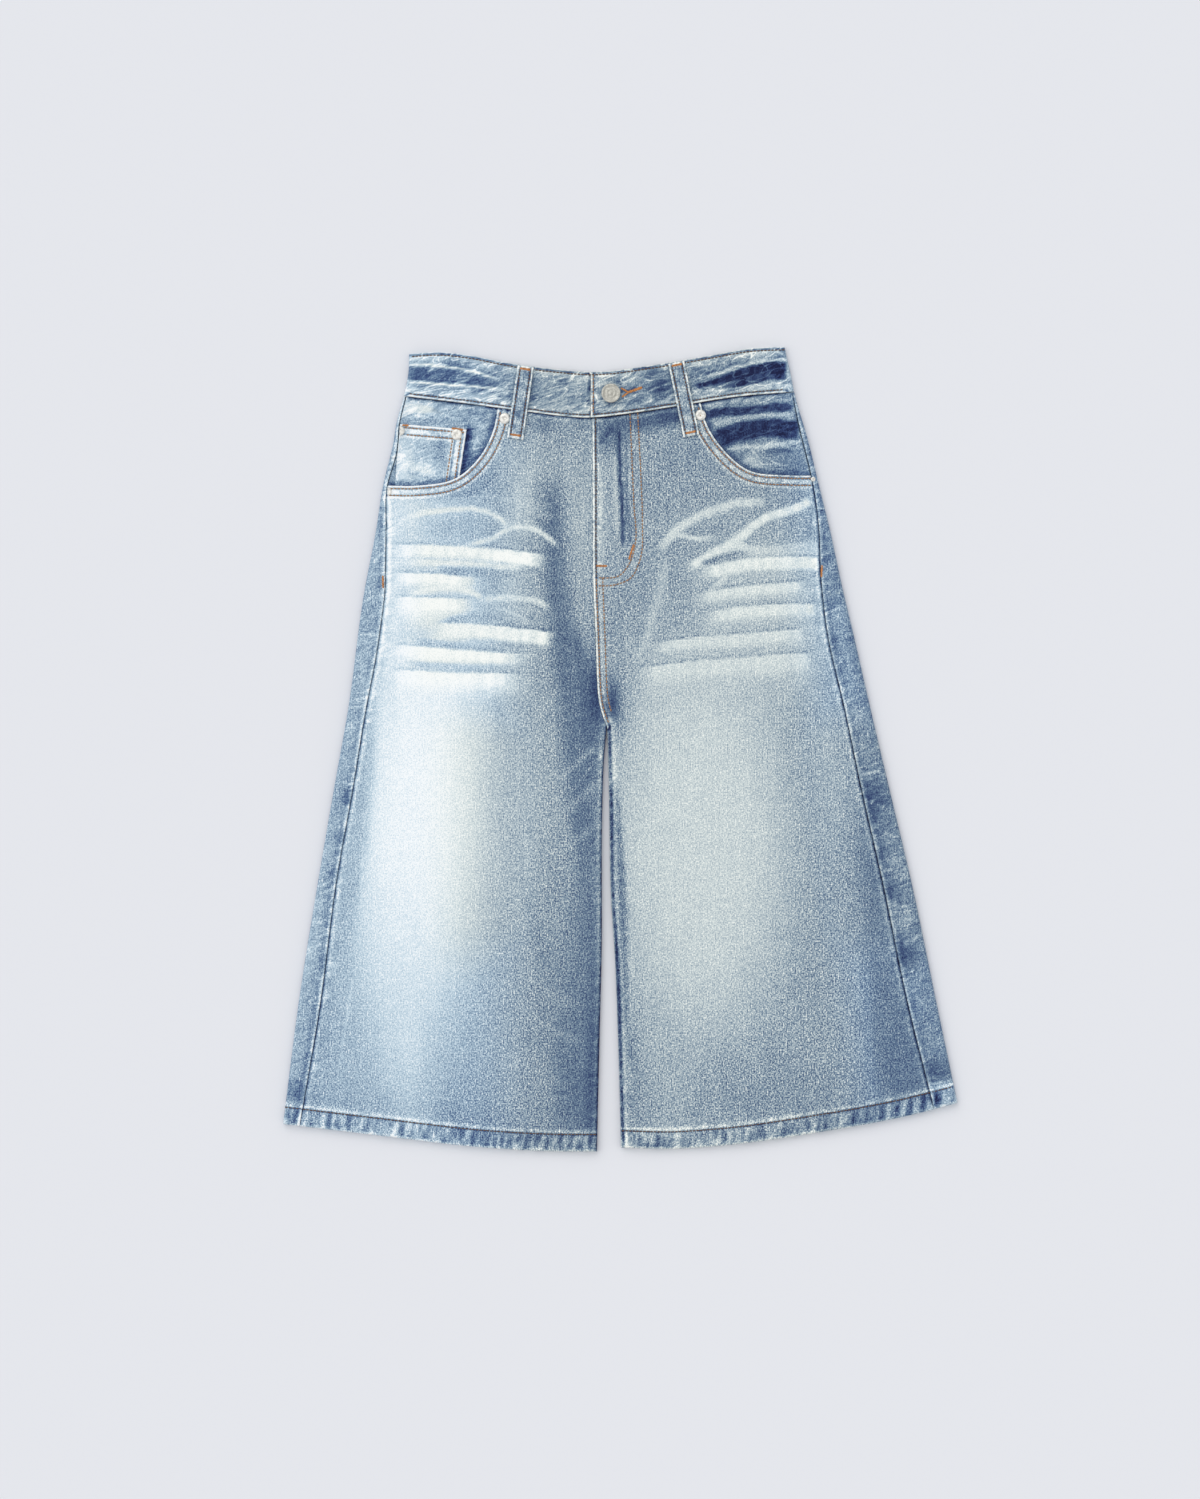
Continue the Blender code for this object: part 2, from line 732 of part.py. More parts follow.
def waistband_height(x, y, over):
    """The waistband's outer height on the upper side; its free end lies over the other one."""
    swell = WAISTBAND_SWELL * ease(nearest_side(x, y), FOLD_RADIUS, EDGE_FADE)
    lap = np.where(over, LAP_RISE * ease(x, *LAP_RISE_X), -LAP_UNDER_SINK * ease(x, *LAP_UNDER_SINK_X))
    return 2 * FOLD_RADIUS + swell + lap


def waistband(finish):
    """One strip from its free end over the button side, round the back, to its other end under the first."""

    def place(station, v):
        y = np.full_like(station, WAIST_SIDE_Y)
        for _ in range(ROUNDS):
            left, right = side_fold("left", y), side_fold("right", y)
            stops = [
                LAP_END_X + 0 * y,
                left - FOLD_RADIUS,
                left,
                left - FOLD_RADIUS,
                right + FOLD_RADIUS,
                right,
                right + FOLD_RADIUS,
                LAP_UNDER_END_X + 0 * y,
            ]
            x = stops[0]
            bend = math.pi / 2 + 0 * y
            for index in range(len(stops) - 1):
                share = np.clip(station - index, 0, 1)
                straight = stops[index] + share * (stops[index + 1] - stops[index])
                sine, cosine = np.sin(share * math.pi / 2), np.cos(share * math.pi / 2)
                widening = stops[index] + sine * (stops[index + 1] - stops[index])
                narrowing = stops[index + 1] + cosine * (stops[index] - stops[index + 1])
                part = {1: widening, 4: widening, 2: narrowing, 5: narrowing}.get(index, straight)
                x = np.where(station > index, part, x)
            low = through(WAIST_SEAM, x) + SEAM_GAP
            corner = LAP_CORNER * ease(x, LAP_END_X + LAP_CORNER_RUN, LAP_END_X) * (station < 1)
            y = (1 - v) * low + v * (through(WAIST_TOP, x) - corner)
        down_left = np.clip(station - 1, 0, 2) * math.pi / 2
        up_right = np.clip(station - 4, 0, 2) * math.pi / 2
        folded = FOLD_RADIUS + FOLD_RADIUS * np.where(station <= 3, np.cos(down_left), -np.cos(up_right))
        flat_top = waistband_height(x, y, station < 1)
        z = np.where((station <= 1) | (station >= 6), flat_top, folded)
        return x, y, np.where((station >= 3) & (station <= 4), under_height(x, y), z)

    columns = np.concatenate(
        [
            spread(0.0, 1.0, 15),
            1 + QUARTER_TURN,
            2 + QUARTER_TURN,
            spread(3.0, 4.0, 21)[1:],
            4 + QUARTER_TURN,
            5 + QUARTER_TURN,
            spread(6.0, 7.0, 17)[1:],
        ]
    )
    return sheet("waistband", columns, spread(0.0, 1.0, 4), place, finish, WAISTBAND_WALL)


def front_loop(name, finish):
    """A strap tacked at both ends across the waistband, bowed off it between."""
    top_x, top_y, foot_x, foot_y = FRONT_LOOPS[name]
    length = math.hypot(top_x - foot_x, top_y - foot_y)
    lean_x, lean_y = (top_y - foot_y) / length, (foot_x - top_x) / length

    def place(u, v):
        x = foot_x + v * (top_x - foot_x) + (u - 0.5) * LOOP_WIDTH * lean_x
        y = foot_y + v * (top_y - foot_y) + (u - 0.5) * LOOP_WIDTH * lean_y
        under = np.maximum(waistband_height(x, y, x > 0), upper_height(x, y))
        bow = LOOP_BOW * np.sqrt(np.sin(np.pi * np.clip(v, 0.02, 0.98)))
        return x, y, under + SEAM_GAP + bow + LOOP_WALL

    return sheet(name, spread(0.0, 1.0, 3), spread(0.0, 1.0, 11), place, finish, LOOP_WALL)


def flat_outline(name, points, wall, finish):
    """A flat piece on the table, from its outline."""
    curve = bpy.data.curves.new(name, "CURVE")
    curve.dimensions = "2D"
    curve.fill_mode = "BOTH"
    curve.extrude = wall * MM / 2
    spline = curve.splines.new("POLY")
    spline.points.add(len(points) - 1)
    for point, (x, y) in zip(spline.points, points):
        point.co = (x * MM, y * MM, 0.0, 1.0)
    spline.use_cyclic_u = True
    made = add_object(name, curve, finish)
    made.location.z = wall * MM / 2
    return made


def back_pocket(side, finish):
    centre, top = BACK_POCKET_X[side], BACK_POCKET_TOP_Y
    half_top, half_foot = BACK_POCKET_TOP_WIDTH / 2, BACK_POCKET_FOOT_WIDTH / 2
    points = [
        (centre - half_top, top),
        (centre - half_foot, top - BACK_POCKET_SHOULDER),
        (centre, top - BACK_POCKET_HEIGHT),
        (centre + half_foot, top - BACK_POCKET_SHOULDER),
        (centre + half_top, top),
    ]
    return flat_outline("back_pocket_" + side, points, WALL, finish)


def back_loop(name, finish):
    centre, half = BACK_LOOPS[name], LOOP_WIDTH / 2
    top = float(through(WAIST_TOP, centre)) - 1.0
    points = [
        (centre - half, BACK_LOOP_FOOT_Y),
        (centre + half, BACK_LOOP_FOOT_Y),
        (centre + half, top),
        (centre - half, top),
    ]
    return flat_outline(name, points, WALL, finish)


# Metal trim


def turned(name, profile, segments, finish):
    """A turned piece from its profile of (radius, height), top to bottom, about its own Z axis."""
    mesh = bpy.data.meshes.new(name)
    bm = bmesh.new()
    verts = [bm.verts.new((radius * MM, 0.0, height * MM)) for radius, height in profile]
    for start, end in zip(verts, verts[1:]):
        bm.edges.new((start, end))
    bm.to_mesh(mesh)
    bm.free()
    made = add_object(name, mesh, finish)
    screw = made.modifiers.new("turned", "SCREW")
    screw.steps = segments
    screw.render_steps = segments
    screw.use_merge_vertices = True
    screw.merge_threshold = 0.00001
    return made


def shank_button(finish):
    """A jeans tack button: a rimmed cap with a raised ring, on a short shank."""
    radius = BUTTON_DIAMETER / 2
    profile = [
        (0.0, 4.1),
        (2.2, 4.3),
        (3.4, 4.9),
        (4.4, 4.4),
        (6.6, 4.5),
        (radius - 0.9, 5.0),
        (radius, 4.3),
        (radius - 0.3, 3.2),
        (5.0, 2.2),
        (3.2, 1.8),
        (2.9, 0.0),
        (0.0, 0.0),
    ]
    made = turned("button", profile, 28, finish)
    height = waistband_height(BUTTON_X, BUTTON_Y, True) + SEAM_GAP
    made.location = (BUTTON_X * MM, BUTTON_Y * MM, float(height) * MM)
    return made


def rivet_seat(name):
    """The height of the cloth under a rivet: the highest point around its rim."""
    side, x, y, diameter, half = RIVETS[name]
    turn = np.linspace(0.0, 2 * math.pi, 16, endpoint=False)
    rim_x = np.append(x + np.cos(turn) * diameter / 2, x)
    rim_y = np.append(y + np.sin(turn) * diameter / 2, y)
    if half:
        rim_x = np.maximum(rim_x, x)
    depth = facing_depth(side, rim_x, rim_y) - LAYER if "coin" in name else 0.0
    return float(np.max(upper_skin(side, rim_x, rim_y, depth)[2]))


def cut_away(target, name, corner, size):
    """Takes a box, from its lowest corner and its size in millimetres, off the target."""
    bpy.ops.mesh.primitive_cube_add(size=1.0)
    cutter = bpy.context.active_object
    cutter.name = name
    cutter.scale = tuple(length * MM for length in size)
    cutter.location = tuple((low + length / 2) * MM for low, length in zip(corner, size))
    cutter.hide_render = True
    cutter.display_type = "WIRE"
    for home in list(cutter.users_collection):
        home.objects.unlink(cutter)
    bpy.data.collections["cutters"].objects.link(cutter)
    cut = target.modifiers.new(name, "BOOLEAN")
    cut.operation = "DIFFERENCE"
    cut.object = cutter


def rivet(name, finish):
    x, y, diameter, half = RIVETS[name][1:]
    radius = diameter / 2
    profile = [
        (0.0, 0.8),
        (0.22 * radius, 0.8),
        (0.32 * radius, 1.2),
        (0.53 * radius, RIVET_HEIGHT),
        (0.84 * radius, 1.0),
        (radius, 0.3),
        (radius, 0.0),
        (0.0, 0.0),
    ]
    made = turned(name, profile, 18, finish)
    seat = rivet_seat(name) + SEAM_GAP
    made.location = (x * MM, y * MM, seat * MM)
    if half:
        corner = (x - diameter, y - diameter, seat - diameter)
        cut_away(made, name + "_under_seam", corner, (diameter, 2 * diameter, 2 * diameter))
    return made


def main():
    for old in list(bpy.data.objects):
        bpy.data.objects.remove(old, do_unlink=True)
    collection = bpy.data.collections.new("jeans")
    bpy.context.scene.collection.children.link(collection)
    bpy.context.scene.collection.children.link(bpy.data.collections.new("cutters"))
    for side in SIDE_SIGN:
        front(side, material("washed denim, front " + side, WASHED_DENIM, 0.9))
        back(side, material("washed denim, back " + side, WASHED_DENIM, 0.9))
        yoke(side, material("washed denim, yoke " + side, WASHED_DENIM, 0.9))
        pocket_facing(side, material("dark denim, facing " + side, DARK_DENIM, 0.9))
        back_pocket(side, material("washed denim, back pocket " + side, WASHED_DENIM, 0.9))
    coin_pocket(material("washed denim, coin pocket", WASHED_DENIM, 0.9))
    waistband(material("dark denim, waistband", DARK_DENIM, 0.9))
    for name in FRONT_LOOPS:
        front_loop(name, material("washed denim, " + name, WASHED_DENIM, 0.9))
    for name in BACK_LOOPS:
        back_loop(name, material("washed denim, " + name, WASHED_DENIM, 0.9))
    shank_button(material("nickel, button", NICKEL, 0.35, 1.0))
    for name in RIVETS:
        rivet(name, material("nickel, " + name, NICKEL, 0.3, 1.0))


main()
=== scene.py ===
"""The finish of wide-leg knee-length jeans that lie flat on their back, front upwards, on their CAD frame.

Each cut piece of cloth is a fine grid on the form of its solid, with its seams, creases and folds raised
in its own points and its wash painted as tones from listed marks.
millimetres in the frame of the part: waist towards +Y, the wearer's right leg on the -X side.
"""

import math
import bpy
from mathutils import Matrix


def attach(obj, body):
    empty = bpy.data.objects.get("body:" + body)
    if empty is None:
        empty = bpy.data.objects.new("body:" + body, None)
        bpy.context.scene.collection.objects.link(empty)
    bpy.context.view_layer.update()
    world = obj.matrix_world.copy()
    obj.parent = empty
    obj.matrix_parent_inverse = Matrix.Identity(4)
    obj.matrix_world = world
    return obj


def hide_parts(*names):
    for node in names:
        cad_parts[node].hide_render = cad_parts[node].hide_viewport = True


bl_info = {
    "name": "Washed Wide-Leg Jeans", "version": (1, 0, 0), "blender": (4, 5, 0),
    "location": "3D Viewport > Sidebar > Jeans",
    "description": "Dresses the flat-laid jeans with washed denim, stitching and metal trim",
    "category": "Object"
}

import bmesh
import bpy
import numpy as np
from mathutils import Matrix, Vector

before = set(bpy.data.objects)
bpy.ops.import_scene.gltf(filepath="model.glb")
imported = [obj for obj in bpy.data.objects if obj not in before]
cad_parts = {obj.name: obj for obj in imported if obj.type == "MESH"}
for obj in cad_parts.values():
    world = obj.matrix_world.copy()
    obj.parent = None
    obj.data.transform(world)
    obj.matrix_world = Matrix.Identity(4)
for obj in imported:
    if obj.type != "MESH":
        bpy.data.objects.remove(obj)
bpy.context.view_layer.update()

MM = 0.001

# The cloth and the way it lies
WALL = 1.2
SEAM_GAP = 0.3
LAYER = WALL + SEAM_GAP
FOLD_RADIUS = 3.1
QUARTER_FOLD = FOLD_RADIUS * math.pi / 2
EDGE_FADE = 40.0
LEG_SINK = 0.5
LEG_SINK_Y = (120.0, -40.0)
HEM_HEIGHT = 15.5
WAISTBAND_SWELL = 0.4

# The wearer's right is on the -X side
SIDE_SIGN = {"right": -1, "left": 1}

# Side fold of the flat garment, from the hem corner to the top of the waistband
SIDE_FOLD = {
    # height y, x
    "right": [
        (-337.7, -303.5), (-226, -289.1), (-121.7, -272.4), (-32.6, -257.1), (33, -245.4), (143, -230.1),
        (197, -219.8), (237, -213.5), (278, -203.8), (292, -201.6), (318, -194.6), (340, -190.6),
        (356, -190)
    ],
    "left": [
        (-318.8, 303.6), (-226, 284.2), (-121.7, 262.6), (-32.6, 241.5), (38.5, 224.8), (103, 210),
        (143, 200.5), (197, 188.8), (237, 179), (278, 169), (318, 157.3), (340, 152.8), (361, 148)
    ]
}

# How far the outseam lies inside the side fold, on the upper side
OUTSEAM_INSET = {
    # height y, inset
    "right": [
        (-338, 15.3), (-226, 19.8), (-121.7, 16.7), (-32.6, 17.1), (33, 16.2), (102, 19.4), (143, 18.4),
        (168, 14), (197, 9), (237, 3.8), (262, 5), (290, 2.7), (318, 1.2)
    ],
    "left": [
        (-319, 22.5), (-226, 26.1), (-121.7, 26.1), (-32.6, 25.2), (38.5, 23.4), (103, 23.4), (143, 18.9),
        (167, 15.3), (197, 9.9), (237, 5.2), (285, 4.6), (321, 1.2)
    ]
}

# Centre seam, from the crotch up to the waist seam
CROTCH_Y = 19.6
CENTRE_SEAM = [
    # height y, x
    (CROTCH_Y, -11.9), (31.3, -16.4), (43.9, -19.4), (62, -20.9), (94, -22), (152, -24.3), (242, -24.7),
    (300, -25.1)
]

# Inner edge of each leg, from the hem up to the crotch
INNER_EDGE = {
    # height y, x
    "right": [(-362.5, -20.9), (-262, -18.6), (-190, -16.8), (-46, -15.9), (-10, -14.6), (CROTCH_Y, -12.1)],
    "left": [(-359, 0.7), (-262, -2), (-190, -4.7), (-136, -8.3), (-46, -10.1), (CROTCH_Y, -11.7)]
}

# Seam under the waistband, and the waistband's top edge, across both sides
WAIST_CENTRE_Y = 298.0
WAIST_SIDE_Y = 318.0
WAIST_SEAM = [
    # x, height y
    (-194.5, 317.3), (-134, 310.1), (-84, 303.2), (-25, WAIST_CENTRE_Y), (7, 301.5), (50, 308), (107, 317),
    (157, 321.2)
]
WAIST_TOP = [
    # x, height y
    (-190, 355.3), (-164, 356.8), (-137, 354.2), (-101, 347.2), (-65, 342.2), (-18, 339.2), (25, 344.5),
    (79, 353.5), (118, 360.2), (148, 361.6)
]
HEM_EDGE = {
    # x, height y
    "right": [(-303.5, -337.7), (-214, -348.5), (-128, -358.4), (-63, -362.2), (-20.9, -362.5)],
    "left": [(0.7, -359), (44.8, -360.2), (88, -357.5), (174, -345.8), (261, -329.6), (303.6, -318.8)]
}

# Front pocket mouths, from the waist seam to their foot at the outseam
POCKET_MOUTH = {
    # x, height y
    "right": [(-110.1, 306.4), (-113.6, 288.7), (-126.6, 262.6), (-147.3, 243.9), (-181.7, 237)],
    "left": [(72.2, 311.5), (77.2, 293.6), (93, 269.2), (114.5, 251.3), (150.4, 246.3)]
}
MOUTH_FOOT_Y = {"right": 237, "left": 246}

# The pocket facing reaches this far under the mouth's edge, with its lower corner at half of the mouth
FACING_UNDER = 12.0
FACING_CORNER = 0.5

# Beside the coin pocket the facing rises by one layer, over this run from the pocket's edge
COIN_STEP = (16.0, 4.0)
# and at the side fold it sinks to its own depth, over this run of inset
FACING_SINK = {"right": (FOLD_RADIUS, 9.5), "left": (0.5, 4.5)}

# The coin pocket's corners; its foot runs under the edge of the pocket mouth
COIN_POCKET = {
    # corner: (x, height y)
    "top_outer": (-197.9, 292.3), "top_inner": (-138.3, 287.2), "foot_inner": (-146.5, 232),
    "foot_outer": (-203.6, 230.5)
}

# The fly: the left front laps over the right front down to the end of the fly's stitching
FLY_FOOT_Y = 150.0
FLY_UNDERLAP = 10.0
FLY_UNDERLAP_RUN = 25.0
# The right front sinks under the left one over this run before the seam, and over these heights
FLY_RAMP = (20.0, 5.0)
FLY_SINK_Y = (95.0, 115.0)

# The waistband's ends lap over each other behind the button
LAP_END_X = -26.5
LAP_UNDER_END_X = 28.0
LAP_RISE = 2.1
LAP_RISE_X = (45.0, 0.0)
LAP_UNDER_SINK = 0.2
LAP_UNDER_SINK_X = (-60.0, -30.0)
LAP_CORNER = 3.0
LAP_CORNER_RUN = 7.0

# Yokes and centre back
YOKE_CENTRE_Y = 222.0
YOKE_SLOPE = 0.22

BACK_POCKET_TOP_Y = 206.0
BACK_POCKET_X = {"right": -128, "left": 82}
BACK_POCKET_TOP_WIDTH = 136.0
BACK_POCKET_FOOT_WIDTH = 118.0
BACK_POCKET_SHOULDER = 122.0
BACK_POCKET_HEIGHT = 146.0

# Belt loops: centre of the top end, centre of the foot
LOOP_WIDTH = 12.4
LOOP_WALL = 1.6
LOOP_BOW = 1.1
FRONT_LOOPS = {
    # name: (top x, top y, foot x, foot y)
    "belt_loop_front_right": (-85, 344, -94.6, 279), "belt_loop_front_left": (50.4, 347.6, 64, 281.5)
}
BACK_LOOP_FOOT_Y = 268.0
BACK_LOOPS = {
    # name: x
    "belt_loop_back_right": -108, "belt_loop_back_centre": -24, "belt_loop_back_left": 74
}

# Zones of the underside that lie on a loop or a patch pocket and so stand a layer above the table
UNDER_ZONES = [
    # x from, x to, y from, y to
    (-118, 84, 268, 370), (-196, -60, 60, 206), (14, 150, 60, 206)
]
ZONE_MARGIN = 8.0
ZONE_RAMP = 16.0

# Soft swells and troughs of the upper side
SWELLS = [
    # centre x, centre y, half width, half height, height
    (-150, 268, 62, 46, 1.2), (122, 276, 58, 44, 1.2)
]
CREASES = [
    # from x, from y, to x, to y, half width, height
    (0, 288, 2.5, 180, 4, -0.9), (-9, 285, -8, 185, 5, 0.5), (10, 280, 12, 190, 6, 0.4),
    (-20, 60, -12.5, 26, 8, -0.5), (-40, 40, -120, 120, 16, 0.35), (10, 40, 90, 105, 16, 0.35),
    (-55, -20, -30, -120, 12, -0.3), (30, 0, 22, -240, 14, 0.3), (-190, -120, -215, -330, 26, 0.4),
    (-120, -60, -125, -340, 34, 0.5), (-70, -190, -66, -350, 22, -0.3), (100, -60, 118, -330, 34, 0.5),
    (170, -120, 205, -320, 26, 0.4), (60, -200, 64, -350, 22, -0.3), (235, -55, 190, -62, 7, -0.4),
    (-250, -45, -215, -58, 7, -0.4)
]

# Metal trim. The rivets at the outseam show only their inner half, the rest is under the seam
BUTTON_X = -8.4
BUTTON_Y = 319.8
BUTTON_DIAMETER = 17.2
RIVET_HEIGHT = 1.3
RIVETS = {
    # name: (side, x, height y, diameter, half under the seam)
    "rivet_coin_inner": ("right", -147.3, 282.8, 9.8, False),
    "rivet_coin_outer": ("right", -198.4, 286, 8.8, True),
    "rivet_mouth_top_right": ("right", -103.9, 297.2, 9.8, False),
    "rivet_mouth_foot_right": ("right", -209.4, 231.4, 7.6, True),
    "rivet_mouth_top_left": ("left", 72.2, 300.2, 9.8, False),
    "rivet_mouth_foot_left": ("left", 173.6, 242.6, 4.2, False)
}

# Rows of a panel's grid, as shares of its height: the hem's inner edge, the step from it to the next row,
# and the rows at the crotch
ROW_HEM = 0.03
ROW_HEM_STEP = 0.0015
ROW_UNDER_CROTCH = 0.54
ROW_CROTCH = 0.55
CROTCH_ROW_HEIGHT = 6.0
BACK_ROWS = [
    # row, share of the height
    (0, 0), (ROW_HEM, 0.0265), (ROW_UNDER_CROTCH, 0.637), (ROW_CROTCH, 0.651), (1, 1)
]

# The pocket mouth's share of a front's top edge
MOUTH_SHARE = 0.6
# Where the seam itself lies on the side fold, the upper strip ends at this share of the way to it
STRIP_SHARE = 0.8
# A point's height depends on its place across and the other way round, so they are worked out in rounds
ROUNDS = 6

# The J-shaped rows of the fly, from the waist seam down and round to the centre seam
FLY_ROWS = {
    # row: (x, height y) points
    "fly_inner": [(8.8, 301.5), (12.4, 217.6), (13.9, 187), (8.5, 167.2), (-0.2, 155.9), (-22.5, 153.7)],
    "fly_outer": [
        (15.7, 302.5), (18.7, 241.9), (19.9, 205.4), (17.5, 169), (9.7, 153.7), (-4.7, 147.4),
        (-22.5, 146.5)
    ]
}

# Tone of each area of cloth before its marks: 0 is unwashed indigo, 1 is bleached white
BASE_TONE = {
    "front_right": 0.625, "front_left": 0.615, "strip_right": 0.68, "strip_left": 0.53,
    "facing_right": 0.66, "facing_left": 0.60, "coin_pocket": 0.80, "waistband": 0.65,
    "waistband_back": 0.60, "under": 0.58, "loop": 0.53, "back_pocket": 0.62
}
# How crinkled the cloth came out of the wash, and how much more within reach of its seams
CRINKLE = {
    # area: everywhere, beside the seams
    "front_right": (0.06, 0.45), "front_left": (0.06, 0.45), "strip_right": (0.36, 0.26),
    "strip_left": (0.44, 0.26), "facing_right": (0.70, 0.30), "facing_left": (0.55, 0.40),
    "coin_pocket": (0.50, 0.30), "waistband": (0.90, 0.30), "waistband_back": (0.60, 0.30),
    "under": (0.15, 0.45)
}
CRINKLE_REACH = 9.0
